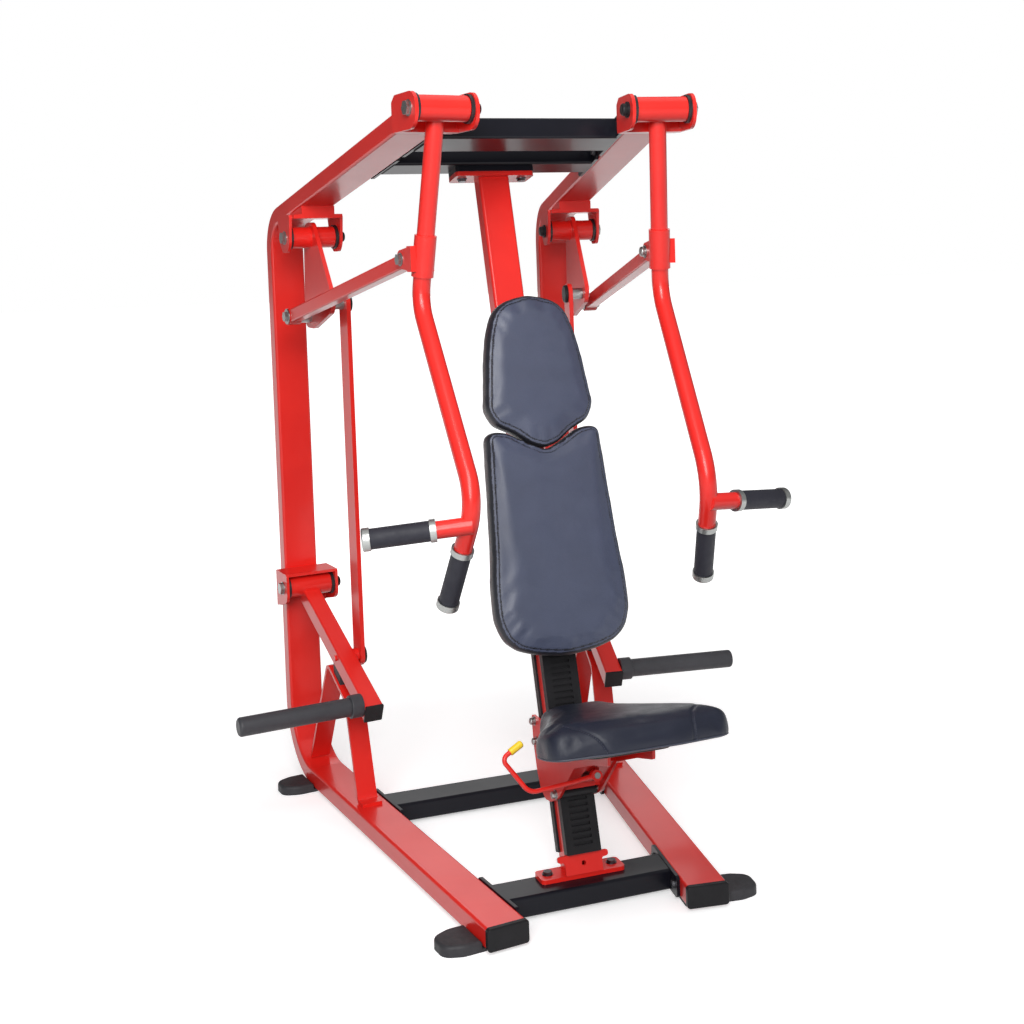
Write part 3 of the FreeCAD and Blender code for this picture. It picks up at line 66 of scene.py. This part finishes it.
def place_of(tree):
    return add(tree, "ShaderNodeTexCoord").outputs["Object"]


def noise(tree, scale, detail=3.0, rough=0.5):
    node = add(tree, "ShaderNodeTexNoise")
    node.inputs["Scale"].default_value = scale
    node.inputs["Detail"].default_value = detail
    node.inputs["Roughness"].default_value = rough
    tree.links.new(place_of(tree), node.inputs["Vector"])
    return node.outputs["Fac"]


def ramp(tree, source, low, high, a, b):
    """Map a source value from low..high to a..b."""
    node = add(tree, "ShaderNodeMapRange")
    node.inputs["From Min"].default_value = low
    node.inputs["From Max"].default_value = high
    node.inputs["To Min"].default_value = a
    node.inputs["To Max"].default_value = b
    tree.links.new(source, node.inputs["Value"])
    return node.outputs["Result"]


def mix_colour(tree, factor, first, second):
    node = add(tree, "ShaderNodeMix", data_type="RGBA")
    colour_in = [s for s in node.inputs if s.type == "RGBA"]
    for socket, value in zip(colour_in, (first, second)):
        if isinstance(value, tuple):
            socket.default_value = (*value, 1.0)
        else:
            tree.links.new(value, socket)
    tree.links.new(factor, [s for s in node.inputs if s.type == "VALUE"][0])
    return [s for s in node.outputs if s.type == "RGBA"][0]


def bump(tree, shader, height, strength, distance, before=None):
    node = add(tree, "ShaderNodeBump")
    node.inputs["Strength"].default_value = strength
    node.inputs["Distance"].default_value = distance
    tree.links.new(height, node.inputs["Height"])
    if before is not None:
        tree.links.new(before, node.inputs["Normal"])
    tree.links.new(node.outputs["Normal"], shader.inputs["Normal"])
    return node.outputs["Normal"]


def edge_mask(tree, radius):
    """About 1 on sharp edges and 0 on open faces."""
    bevel = add(tree, "ShaderNodeBevel")
    bevel.samples = 4
    bevel.inputs["Radius"].default_value = radius
    geometry = add(tree, "ShaderNodeNewGeometry")
    dot = add(tree, "ShaderNodeVectorMath", operation="DOT_PRODUCT")
    tree.links.new(bevel.outputs["Normal"], dot.inputs[0])
    tree.links.new(geometry.outputs["Normal"], dot.inputs[1])
    return ramp(tree, dot.outputs["Value"], 0.985, 0.80, 0.0, 1.0)


def worn_edges(tree, radius, amount):
    """Edge mask broken up by noise, so that wear comes in patches."""
    patch = ramp(tree, noise(tree, 26.0, 4.0, 0.6), 0.48, 0.68, 0.0, amount)
    product = add(tree, "ShaderNodeMath", operation="MULTIPLY")
    tree.links.new(edge_mask(tree, radius), product.inputs[0])
    tree.links.new(patch, product.inputs[1])
    return product.outputs["Value"]


def paint(name, colour, dark, rough, coat, worn, wear=0.5, specular=0.5):
    mat, tree, shader = new_material(name)
    tone = ramp(tree, noise(tree, 5.0, 4.0, 0.55), 0.3, 0.7, 0.0, 1.0)
    base = mix_colour(tree, tone, colour, dark)
    if wear > 0:
        base = mix_colour(tree, worn_edges(tree, 0.0016, wear), base, worn)
    tree.links.new(base, shader.inputs["Base Color"])
    spread = noise(tree, 9.0, 2.0, 0.5)
    tree.links.new(ramp(tree, spread, 0.2, 0.8, rough - 0.02, rough + 0.03), shader.inputs["Roughness"])
    shader.inputs["Coat Weight"].default_value = coat
    shader.inputs["Coat Roughness"].default_value = 0.10
    shader.inputs["Specular IOR Level"].default_value = specular
    bump(tree, shader, noise(tree, 95.0, 0.0, 0.5), 0.04, 0.0004)
    return mat


def moulded(name, colour, rough, grain_scale, grain, variation=0.25, specular=0.5):
    mat, tree, shader = new_material(name)
    lighter = tuple(min(1.0, c * (1 + variation) + 0.004) for c in colour)
    tone = ramp(tree, noise(tree, 14.0, 5.0, 0.6), 0.3, 0.7, 0.0, 1.0)
    base = mix_colour(tree, tone, colour, lighter)
    worn = tuple(min(1.0, c * 2.2 + 0.02) for c in colour)
    base = mix_colour(tree, worn_edges(tree, 0.0012, 0.35), base, worn)
    tree.links.new(base, shader.inputs["Base Color"])
    tree.links.new(ramp(tree, noise(tree, 60.0, 4.0, 0.6), 0.3, 0.7, rough - 0.06, rough + 0.08),
                   shader.inputs["Roughness"])
    shader.inputs["Specular IOR Level"].default_value = specular
    bump(tree, shader, noise(tree, grain_scale, 3.0, 0.6), grain, 0.0008)
    return mat


def vinyl(name, colour, rough, sheen=0.0, specular=0.5, coat=0.12):
    """Coated upholstery cloth with a fine pebbled grain and soft creasing."""
    mat, tree, shader = new_material(name)
    tone = ramp(tree, noise(tree, 9.0, 4.0, 0.6), 0.3, 0.7, 0.0, 1.0)
    base = mix_colour(tree, tone, colour, tuple(c * 0.82 for c in colour))
    cells = add(tree, "ShaderNodeTexVoronoi", feature="DISTANCE_TO_EDGE")
    cells.inputs["Scale"].default_value = 640.0
    tree.links.new(place_of(tree), cells.inputs["Vector"])
    # painted shade: the base colour is darkened in the pits of the pebbled grain
    pit_shade = ramp(tree, cells.outputs["Distance"], 0.0, 0.16, 1.0, 0.0)
    base = mix_colour(tree, ramp(tree, pit_shade, 0.0, 1.0, 0.0, 0.4), base, tuple(c * 0.45 for c in colour))
    tree.links.new(base, shader.inputs["Base Color"])
    tree.links.new(ramp(tree, noise(tree, 22.0, 4.0, 0.6), 0.3, 0.7, rough - 0.05, rough + 0.07),
                   shader.inputs["Roughness"])
    shader.inputs["Sheen Weight"].default_value = sheen
    shader.inputs["Specular IOR Level"].default_value = specular
    shader.inputs["Coat Weight"].default_value = coat
    shader.inputs["Coat Roughness"].default_value = 0.28
    grain = bump(tree, shader, ramp(tree, cells.outputs["Distance"], 0.0, 0.25, 0.0, 1.0), 0.22, 0.0005)
    bump(tree, shader, noise(tree, 45.0, 5.0, 0.65), 0.10, 0.002, before=grain)
    return mat


def metal(name, colour, rough, brushed_along=None):
    mat, tree, shader = new_material(name)
    shader.inputs["Metallic"].default_value = 1.0
    mapping = add(tree, "ShaderNodeMapping")
    mapping.inputs["Scale"].default_value = brushed_along or (1.0, 1.0, 1.0)
    tree.links.new(place_of(tree), mapping.inputs["Vector"])
    lines = add(tree, "ShaderNodeTexNoise")
    lines.inputs["Scale"].default_value = 260.0
    lines.inputs["Detail"].default_value = 5.0
    tree.links.new(mapping.outputs["Vector"], lines.inputs["Vector"])
    tone = ramp(tree, lines.outputs["Fac"], 0.3, 0.7, 0.0, 1.0)
    base = mix_colour(tree, tone, colour, tuple(c * 0.8 for c in colour))
    tree.links.new(base, shader.inputs["Base Color"])
    spread = ramp(tree, lines.outputs["Fac"], 0.3, 0.7, rough - 0.07, rough + 0.1)
    tree.links.new(spread, shader.inputs["Roughness"])
    bump(tree, shader, lines.outputs["Fac"], 0.12, 0.0004)
    return mat


def plywood(name):
    mat, tree, shader = new_material(name)
    mapping = add(tree, "ShaderNodeMapping")
    mapping.inputs["Scale"].default_value = (1.0, 9.0, 0.35)
    tree.links.new(place_of(tree), mapping.inputs["Vector"])
    grain = add(tree, "ShaderNodeTexNoise")
    grain.inputs["Scale"].default_value = 38.0
    grain.inputs["Detail"].default_value = 8.0
    tree.links.new(mapping.outputs["Vector"], grain.inputs["Vector"])
    base = mix_colour(tree, ramp(tree, grain.outputs["Fac"], 0.35, 0.65, 0.0, 1.0), (0.032, 0.030, 0.029),
                      (0.02, 0.019, 0.018))
    tree.links.new(base, shader.inputs["Base Color"])
    shader.inputs["Roughness"].default_value = 0.75
    bump(tree, shader, grain.outputs["Fac"], 0.3, 0.001)
    return mat


RED = (0.82, 0.022, 0.015)
RED_DEEP = (0.74, 0.016, 0.012)
red_paint = paint("red_paint", RED, RED_DEEP, 0.32, 0.20, (0.88, 0.12, 0.08), wear=0.30, specular=0.34)
black_paint = paint("black_paint", (0.0085, 0.009, 0.014), (0.006, 0.006, 0.010), 0.32, 0.10,
                    (0.06, 0.06, 0.065), wear=0.30, specular=0.14)
black_plastic = moulded("black_plastic", (0.0085, 0.0080, 0.0095), 0.42, 520.0, 0.22, specular=0.20)
rubber = moulded("rubber", (0.022, 0.021, 0.025), 0.62, 300.0, 0.40)
grip_rubber = moulded("grip_rubber", (0.013, 0.013, 0.021), 0.55, 420.0, 0.45, specular=0.35)
horn_black = moulded("horn_black", (0.030, 0.030, 0.036), 0.50, 360.0, 0.35)
zinc = metal("zinc", (0.34, 0.335, 0.33), 0.32)
dark_zinc = metal("dark_zinc", (0.13, 0.13, 0.14), 0.36)
aluminium = metal("aluminium", (0.40, 0.41, 0.40), 0.36, (1.0, 1.0, 7.0))
dark_steel = moulded("dark_steel", (0.012, 0.012, 0.014), 0.38, 300.0, 0.15, specular=0.4)
yellow = moulded("yellow_sleeve", (0.86, 0.58, 0.02), 0.36, 260.0, 0.15, 0.1)
board_wood = plywood("board_wood")
# painted light: the pads use one vinyl in two copies, a lighter one for the front faces as a painted
# highlight and a darker one for the side faces as painted shade
lit_pad_vinyl = vinyl("lit_pad_vinyl", (0.054, 0.066, 0.118), 0.42, 0.12)
shaded_pad_vinyl = vinyl("shaded_pad_vinyl", (0.012, 0.013, 0.021), 0.38, 0.05, 0.35, 0.05)
# painted shade: the seat uses a darker copy of the pads' vinyl
shaded_seat_vinyl = vinyl("shaded_seat_vinyl", (0.015, 0.018, 0.034), 0.36, 0.0, 0.30, 0.03)
thread = moulded("seam_piping", (0.036, 0.040, 0.060), 0.40, 900.0, 0.3)

LOOKS = (
    (("side_frame", "press_arm", "link_bar", "rocker_left", "rocker_right", "rocker_bracket", "push_rod",
      "weight_arm_left", "weight_arm_right", "weight_arm_bracket", "weight_stops", "backrest_column",
      "arm_clevis", "seat_carriage", "seat_lever"), red_paint),
    (("front_crossmember", "rear_crossmember", "top_front_crossbeam", "top_rear_crossbeam",
      "column_head_spacer", "pad_brackets"), black_paint),
    (("seat_track_cover", "column_guide_strips", "rail_end_caps", "pivot_nut_caps", "seat_rollers",
      "weight_arm_cap", "rod_bearing_caps"), black_plastic),
    (("foot_pads", "stop_bumpers"), rubber),
    (("arm_grips",), grip_rubber),
    (("weight_horn",), horn_black),
    (("frame_screws",), dark_zinc),
    (("pivot_shafts", "roller_axles", "seat_latch_pin", "link_bolt", "rocker_pins"), zinc),
    (("grip_rings",), aluminium),
    (("thrust_rings",), dark_steel),
    (("pad_boards", "seat_board"), board_wood),
)


def look_for(name):
    if name == "seat_lever_tip":
        return yellow
    for starts, mat in LOOKS:
        if any(name == s or name.startswith(s) for s in starts):
            return mat
    return red_paint


for name, obj in nodes.items():
    mat = look_for(name)
    if len(obj.material_slots) == 0:
        obj.data.materials.append(mat)
    for i in range(len(obj.material_slots)):
        obj.material_slots[i].material = mat


# ---------------------------------------------------------------- mesh helpers
def object_from(name, verts, faces, mat, smooth=True):
    mesh = bpy.data.meshes.new(name)
    mesh.from_pydata([tuple(v) for v in verts], [], faces)
    mesh.validate()
    if smooth:
        mesh.shade_smooth()
    obj = bpy.data.objects.new(name, mesh)
    scene.collection.objects.link(obj)
    mesh.materials.append(mat)
    return obj


def tidy_normals(obj):
    bm = bmesh.new()
    bm.from_mesh(obj.data)
    bmesh.ops.recalc_face_normals(bm, faces=bm.faces)
    bm.to_mesh(obj.data)
    bm.free()


def applied(obj):
    """Replace an object's mesh by its evaluated one and clear the modifiers."""
    graph = bpy.context.evaluated_depsgraph_get()
    mesh = bpy.data.meshes.new_from_object(obj.evaluated_get(graph), depsgraph=graph)
    obj.modifiers.clear()
    obj.data = mesh
    return obj


def rounded(points, radii, step):
    """Closed outline with rounded corners, sampled at about the given step."""
    out = []
    count = len(points)
    for i in range(count):
        p = Vector(points[i])
        a = Vector(points[i - 1]) - p
        b = Vector(points[(i + 1) % count]) - p
        turn = a.angle(b)
        if radii[i] < 0.5 or turn > math.radians(179.5):
            out.append(p)
            continue
        reach = min(radii[i] / math.tan(turn / 2), a.length * 0.49, b.length * 0.49)
        radius = reach * math.tan(turn / 2)
        mid = (a.normalized() + b.normalized()).normalized()
        centre = p + mid * (radius / math.sin(turn / 2))
        start = p + a.normalized() * reach - centre
        end = p + b.normalized() * reach - centre
        sweep = start.angle(end)
        n = max(2, int(math.ceil(radius * sweep / step)))
        sign = 1 if start.x * end.y - start.y * end.x > 0 else -1
        for k in range(n + 1):
            angle = sign * sweep * k / n
            out.append(centre + Vector((start.x * math.cos(angle) - start.y * math.sin(angle),
                                        start.x * math.sin(angle) + start.y * math.cos(angle))))
    dense = []
    for i in range(len(out)):
        a, b = out[i], out[(i + 1) % len(out)]
        n = max(1, int((b - a).length / step))
        for k in range(n):
            dense.append(a.lerp(b, k / n))
    return dense


def inset_loop(loop, amount):
    """Move a closed loop inwards along its own normals."""
    count = len(loop)
    area = sum(loop[i].cross(loop[(i + 1) % count]) for i in range(count))
    sign = 1.0 if area > 0 else -1.0
    out = []
    for i in range(count):
        d = loop[(i + 1) % count] - loop[i - 1]
        n = Vector((-d.y, d.x)).normalized() * sign
        out.append(loop[i] + n * amount)
    return out


def soft_block(name, loop, levels, place, mat):
    """Closed form from one outline: each level is (inset, height), the last one is capped with a crown."""
    verts = []
    faces = []
    count = len(loop)
    for inset, height in levels:
        for p in inset_loop(loop, inset):
            verts.append(place(p.x, p.y, height))
    for level in range(len(levels) - 1):
        for i in range(count):
            j = (i + 1) % count
            a = level * count
            b = a + count
            faces.append((a + i, a + j, b + j, b + i))
    faces.append(tuple(range(count - 1, -1, -1)))
    last = (len(levels) - 1) * count
    faces.append(tuple(last + i for i in range(count)))
    obj = object_from(name, verts, faces, mat)
    tidy_normals(obj)
    return obj


def puff(obj, voxel, pressure, cap, frozen, frames=20):
    """Remesh, inflate as cloth with the frozen vertices held, cap the travel, smooth and subdivide."""
    remesh = obj.modifiers.new("remesh", "REMESH")
    remesh.mode = "VOXEL"
    remesh.voxel_size = voxel
    remesh.use_smooth_shade = True
    applied(obj)
    smooth = obj.modifiers.new("smooth", "SMOOTH")
    smooth.factor = 0.5
    smooth.iterations = 6
    applied(obj)
    before = [v.co.copy() for v in obj.data.vertices]
    group = obj.vertex_groups.new(name="held")
    for v in obj.data.vertices:
        if frozen(v.co):
            group.add([v.index], 1.0, "REPLACE")
    cloth = obj.modifiers.new("cloth", "CLOTH")
    cloth.settings.quality = 5
    cloth.settings.mass = 0.3
    cloth.settings.tension_stiffness = 18
    cloth.settings.compression_stiffness = 18
    cloth.settings.bending_stiffness = 2.5
    cloth.settings.use_pressure = True
    cloth.settings.uniform_pressure_force = pressure
    cloth.settings.effector_weights.gravity = 0.0
    cloth.settings.vertex_group_mass = "held"
    cloth.point_cache.frame_start = 1
    cloth.point_cache.frame_end = frames
    for f in range(1, frames + 1):
        scene.frame_set(f)
    applied(obj)
    scene.frame_set(1)
    for v, was in zip(obj.data.vertices, before):
        move = v.co - was
        if move.length > cap:
            v.co = was + move.normalized() * cap
    obj.vertex_groups.clear()
    calm = obj.modifiers.new("calm", "SMOOTH")
    calm.factor = 0.5
    calm.iterations = 7
    applied(obj)
    subdivide = obj.modifiers.new("subdivide", "SUBSURF")
    subdivide.levels = 1
    subdivide.render_levels = 1
    applied(obj)
    obj.data.shade_smooth()
    return obj


def surface_path(obj, points, closed, spacing=0.004):
    """Points on the surface of obj nearest to a polyline, evenly spaced, with their normals."""
    graph = bpy.context.evaluated_depsgraph_get()
    tree = BVHTree.FromObject(obj, graph)
    dense = []
    count = len(points)
    for i in range(count if closed else count - 1):
        a, b = points[i], points[(i + 1) % count]
        n = max(1, int((b - a).length / spacing))
        for k in range(n):
            dense.append(a.lerp(b, k / n))
    if not closed:
        dense.append(points[-1])
    found = []
    for p in dense:
        spot, normal, index, distance = tree.find_nearest(p)
        found.append((spot, normal))
    for turn in range(3):
        n = len(found)
        smoothed = []
        for i in range(n):
            if not closed and i in (0, n - 1):
                smoothed.append(found[i])
                continue
            p = (found[i - 1][0] + found[i][0] * 2 + found[(i + 1) % n][0]) / 4
            q = (found[i - 1][1] + found[i][1] * 2 + found[(i + 1) % n][1]).normalized()
            smoothed.append((p, q))
        found = smoothed
    return found


def groove(obj, path, width, depth):
    """Press the surface in along a path, as stitching does."""
    tree = KDTree(len(path))
    for i, (p, n) in enumerate(path):
        tree.insert(p, i)
    tree.balance()
    for v in obj.data.vertices:
        spot, index, distance = tree.find(v.co)
        if distance < width:
            fall = 0.5 + 0.5 * math.cos(math.pi * distance / width)
            v.co -= path[index][1] * depth * fall
    obj.data.update()


def tube_along(name, path, radius, mat, closed, lift=0.0, sides=8):
    verts = []
    faces = []
    n = len(path)
    for i in range(n):
        p, up = path[i]
        ahead = path[(i + 1) % n][0] if closed or i + 1 < n else p
        behind = path[i - 1][0] if closed or i > 0 else p
        along = (ahead - behind).normalized()
        across = along.cross(up).normalized()
        rise = across.cross(along).normalized()
        centre = p + up * lift
        for k in range(sides):
            angle = 2 * math.pi * k / sides
            verts.append(centre + across * math.cos(angle) * radius + rise * math.sin(angle) * radius)
    for i in range(n if closed else n - 1):
        for k in range(sides):
            a = i * sides + k
            b = i * sides + (k + 1) % sides
            c = ((i + 1) % n) * sides + (k + 1) % sides
            d = ((i + 1) % n) * sides + k
            faces.append((a, b, c, d))
    if not closed:
        faces.append(tuple(range(sides)))
        faces.append(tuple((n - 1) * sides + k for k in range(sides)))
    obj = object_from(name, verts, faces, mat)
    tidy_normals(obj)
    return obj


def stitches(name, path, mat, pitch=0.0055, length=0.0034, radius=0.00055, lift=0.0006):
    """A row of short raised stitches along a path of (point, normal)."""
    verts = []
    faces = []
    travelled = 0.0
    target = 0.0
    for i in range(len(path) - 1):
        a, up = path[i]
        b = path[i + 1][0]
        reach = (b - a).length
        if reach < 1e-7:
            continue
        along = (b - a).normalized()
        across = along.cross(up).normalized()
        rise = across.cross(along).normalized()
        if rise.dot(up) < 0:
            rise = -rise
        while target <= travelled + reach:
            centre = a + along * (target - travelled) + up * lift
            base = len(verts)
            for t, size in ((-0.5, 0.45), (-0.25, 1.0), (0.25, 1.0), (0.5, 0.45)):
                for k in range(6):
                    angle = 2 * math.pi * k / 6
                    verts.append(centre + along * length * t + across * math.cos(angle) * radius * size
                                 + rise * math.sin(angle) * radius * size)
            for ring in range(3):
                for k in range(6):
                    p = base + ring * 6 + k
                    q = base + ring * 6 + (k + 1) % 6
                    faces.append((p, q, q + 6, p + 6))
            faces.append(tuple(base + k for k in range(6)))
            faces.append(tuple(base + 18 + k for k in range(6)))
            target += pitch
        travelled += reach
    obj = object_from(name, verts, faces, mat)
    tidy_normals(obj)
    return obj


# ---------------------------------------------------------------- pads
PAD_TILT = math.radians(14.04)
SEAT_TILT = math.radians(12.0)


def on_pad(x, t, e):
    """Pad coordinates in mm: across, up the pad, and back from its front face."""
    y = 213.5 + t * math.sin(PAD_TILT) + e * math.cos(PAD_TILT)
    z = 697.0 + t * math.cos(PAD_TILT) - e * math.sin(PAD_TILT)
    return Vector((x * MM, y * MM - ORIGIN_Y, z * MM))


def on_seat(x, r, h):
    """Seat coordinates in mm: across, rearward, and up from the board's top."""
    y = -259.0 + r * math.cos(SEAT_TILT) + h * math.sin(SEAT_TILT)
    z = 489.4 - r * math.sin(SEAT_TILT) + h * math.cos(SEAT_TILT)
    return Vector((x * MM, y * MM - ORIGIN_Y, z * MM))


def mirrored(half, radii):
    """Whole outline and radii from a half outline that starts and ends on the centre line."""
    other = [(-x, t) for x, t in reversed(half[1:-1])]
    return half + other, radii + list(reversed(radii[1:-1]))


HEAD_HALF = [(0, 384), (36, 396), (73, 425), (118, 446), (138, 482), (132, 526), (124, 600), (112, 668),
             (86, 742), (0, 765)]
HEAD_R = [30, 20, 30, 25, 40, 200, 200, 200, 70, 90]
BACK_HALF = [(0, -117), (74, -106), (122, -92), (152, -66), (169, -19), (168, 60), (160, 132), (151, 287),
             (144, 430), (92, 422), (47, 394), (0, 370)]
BACK_R = [200, 120, 80, 60, 90, 300, 600, 900, 20, 60, 60, 40]
SEAT_HALF = [(0, 0), (84, 0), (213, 26), (217, 122), (150, 262), (100, 375), (92, 470), (0, 470)]
SEAT_R = [0, 200, 42, 120, 400, 200, 36, 0]
BASE_HALF = [(0, 96), (88, 96), (108, 150), (100, 245), (58, 355), (50, 442), (0, 442)]
BASE_R = [0, 30, 40, 90, 90, 16, 0]


# (inset, height) of each ring of the unpuffed forms, in mm
PAD_LEVELS = ((4, 59.4), (0, 57), (-2.5, 50), (-3, 34), (-3, 20), (-1.6, 12), (1.6, 7), (6, 4.2), (12, 2.8),
              (24, 2.4))
SEAT_LEVELS = ((9, 1.0), (4.5, 1.6), (3.2, 6), (3, 22), (4, 38), (7, 49), (12, 57), (20, 61.8), (32, 64.4),
               (50, 66.4), (80, 68))
BASE_LEVELS = ((1.6, -13.9), (0, -12.4), (0, -1.0), (1.2, 1.6))
OUTLINE_STEP = 8.0
PAD_HELD_FROM = 17.0
SEAT_HELD_BELOW = 4.0
VOXEL = 0.006
PAD_PRESSURE = 2.6
SEAT_PRESSURE = 2.2
TRAVEL_CAP = 0.0042
# faces turned ahead by more than this keep the lighter vinyl copy; the others get the darker painted-shade
# copy
LIT_FRONT_LIMIT = 0.86
# seat seam paths as (across, rearward, up), in mm
LEFT_SEAM = ((-160, 64, 67), (-142, 42, 66), (-122, 18, 58), (-103, 4, 36), (-92, 0, 14), (-89, 0, 4))
RIGHT_SEAM = ((142, 66, 67), (124, 44, 66), (113, 18, 58), (109, 6, 36), (108, 2, 14), (108, 2, 4))


def ring_on(obj, loop, inset, height, place):
    """Closed path on the surface of obj, the given inset inside its outline."""
    return surface_path(obj, [place(p.x, p.y, height) for p in inset_loop(loop, inset)], True)


def upright_pad(name, half, radii, node):
    points, turns = mirrored(half, radii)
    loop = rounded(points, turns, OUTLINE_STEP)
    pad = soft_block(name, loop, PAD_LEVELS, on_pad, lit_pad_vinyl)
    hold = on_pad(0, 0, PAD_HELD_FROM)
    rear = on_pad(0, 0, 1.0) - on_pad(0, 0, 0.0)
    puff(pad, VOXEL, PAD_PRESSURE, TRAVEL_CAP, lambda co: (co - hold).dot(rear) > 0)
    groove(pad, ring_on(pad, loop, 6.0, 4.0, on_pad), 0.0045, 0.0016)
    path = ring_on(pad, loop, 9.0, 4.0, on_pad)
    seam = stitches(name + "_stitching", path + path[:1], thread)
    # painted shade: faces turned away from the front get the darker copy of the vinyl
    pad.data.materials.append(shaded_pad_vinyl)
    ahead = -rear.normalized()
    for face in pad.data.polygons:
        if face.normal.dot(ahead) < LIT_FRONT_LIMIT:
            face.material_index = 1
    for piece in (pad, seam):
        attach(piece, "machine_frame")
    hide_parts(node)
    return pad


def make_seat():
    points, turns = mirrored(SEAT_HALF, SEAT_R)
    loop = rounded(points, turns, OUTLINE_STEP)
    seat = soft_block("seat_pad", loop, SEAT_LEVELS, on_seat, shaded_seat_vinyl)
    floor = on_seat(0, 0, SEAT_HELD_BELOW)
    up = on_seat(0, 0, 1.0) - on_seat(0, 0, 0.0)
    puff(seat, VOXEL, SEAT_PRESSURE, TRAVEL_CAP, lambda co: (co - floor).dot(up) < 0)
    pieces = [seat]
    for label, side, guide in (("left", -1, LEFT_SEAM), ("right", 1, RIGHT_SEAM)):
        path = surface_path(seat, [on_seat(*p) for p in guide], False)
        groove(seat, path, 0.0055, 0.0026)
        beside = [on_seat(p[0] + side * 4.5, p[1] + 2, p[2]) for p in guide]
        pieces.append(stitches("seat_seam_" + label, surface_path(seat, beside, False), thread))
    rim = ring_on(seat, loop, 2.0, 4.0, on_seat)
    pieces.append(tube_along("seat_bottom_piping", rim, 0.0019, thread, True, lift=0.0006))
    for piece in pieces:
        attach(piece, "carriage")
    points, turns = mirrored(BASE_HALF, BASE_R)
    base = soft_block("seat_base", rounded(points, turns, OUTLINE_STEP), BASE_LEVELS, on_seat, board_wood)
    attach(base, "carriage")
    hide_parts("seat_board")
    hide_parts("seat_cushion")
    return seat


upright_pad("headrest", HEAD_HALF, HEAD_R, "headrest_pad")
upright_pad("backrest", BACK_HALF, BACK_R, "backrest_pad")
make_seat()


# ---------------------------------------------------------------- floor, light and camera
def make_floor():
    mat, tree, shader = new_material("floor_white")
    shader.inputs["Base Color"].default_value = (0.85, 0.85, 0.855, 1.0)
    tree.links.new(ramp(tree, noise(tree, 3.0), 0.3, 0.7, 0.75, 0.85), shader.inputs["Roughness"])
    shader.inputs["Specular IOR Level"].default_value = 0.15
    shader.inputs["Emission Color"].default_value = (1.0, 1.0, 1.0, 1.0)
    # painted light: the floor glows, weakest near the machine so the lamps' shadows show there, and fully
    # white farther out
    reach = add(tree, "ShaderNodeVectorMath", operation="LENGTH")
    tree.links.new(place_of(tree), reach.inputs[0])
    lift = ramp(tree, reach.outputs["Value"], 1.2, 3.4, 0.46, 1.0)
    tree.links.new(lift, shader.inputs["Emission Strength"])
    far = 60
    corners = [(-far, -far, 0), (far, -far, 0), (far, far, 0), (-far, far, 0)]
    floor = object_from("floor", corners, [(0, 1, 2, 3)], mat, False)
    floor.visible_diffuse = False
    return floor


def area_light(name, place, target, size, power, shine=1.0):
    data = bpy.data.lights.new(name, "AREA")
    data.shape = "RECTANGLE"
    data.size = size
    data.size_y = size
    data.energy = power
    data.specular_factor = shine
    obj = bpy.data.objects.new(name, data)
    scene.collection.objects.link(obj)
    obj.location = place
    obj.rotation_euler = (Vector(target) - Vector(place)).to_track_quat("-Z", "Y").to_euler()
    obj.visible_camera = False
    return obj


def smooth_range(tree, source, low, high, a, b):
    node = add(tree, "ShaderNodeMapRange", interpolation_type="SMOOTHSTEP")
    for socket, value in (("From Min", low), ("From Max", high), ("To Min", a), ("To Max", b)):
        node.inputs[socket].default_value = value
    tree.links.new(source, node.inputs["Value"])
    return node.outputs["Result"]


def make_world():
    """White to the camera; as light, brighter overhead and dimmer behind the machine."""
    world = bpy.data.worlds.new("studio")
    world.use_nodes = True
    sky = world.node_tree
    split = add(sky, "ShaderNodeSeparateXYZ")
    sky.links.new(add(sky, "ShaderNodeTexCoord").outputs["Generated"], split.inputs["Vector"])
    shaded = add(sky, "ShaderNodeMath", operation="MULTIPLY")
    sky.links.new(smooth_range(sky, split.outputs["Z"], -0.25, 0.45, 0.14, 0.50), shaded.inputs[0])
    sky.links.new(smooth_range(sky, split.outputs["Y"], -0.3, 0.6, 1.0, 0.35), shaded.inputs[1])
    level = add(sky, "ShaderNodeMix")
    level.inputs["B"].default_value = 1.0
    sky.links.new(add(sky, "ShaderNodeLightPath").outputs["Is Camera Ray"], level.inputs["Factor"])
    sky.links.new(shaded.outputs["Value"], level.inputs["A"])
    background = sky.nodes["Background"]
    sky.links.new(level.outputs["Result"], background.inputs["Strength"])
    background.inputs["Color"].default_value = (1.0, 1.0, 1.0, 1.0)
    scene.world = world


make_floor()
make_world()
area_light("key", (-2.4, -5.2, 3.0), (0, -0.2, 0.9), 2.6, 222)
area_light("pad_glow", (-0.6, -1.7, 2.35), (0, -0.2, 1.35), 0.8, 17, 0.25)
area_light("top", (0.3, 0.2, 5.0), (0, 0, 0), 3.5, 30)
area_light("back", (1.6, 5.2, 3.2), (0, 0, 1.0), 2.6, 34, 0.1)

HEADING = math.radians(19.98)
DOWN = math.radians(3.31)
ROLL = math.radians(-1.92)
forward = Vector((math.sin(HEADING) * math.cos(DOWN), math.cos(HEADING) * math.cos(DOWN), -math.sin(DOWN)))
right = Vector((math.cos(HEADING), -math.sin(HEADING), 0.0))
upward = right.cross(forward)
across = right * math.cos(ROLL) + upward * math.sin(ROLL)
above = upward * math.cos(ROLL) - right * math.sin(ROLL)
camera_data = bpy.data.cameras.new("camera")
camera_data.sensor_width = 36.0
camera_data.lens = 50.65
camera_data.shift_x = -0.0243
camera_data.shift_y = -0.1654
camera = bpy.data.objects.new("camera", camera_data)
scene.collection.objects.link(camera)
camera.matrix_world = Matrix(((across.x, above.x, -forward.x, -1.20532),
                              (across.y, above.y, -forward.y, -2.96109 - ORIGIN_Y),
                              (across.z, above.z, -forward.z, 1.52262),
                              (0, 0, 0, 1)))
scene.camera = camera
scene.view_settings.view_transform = "Standard"
scene.view_settings.look = "None"
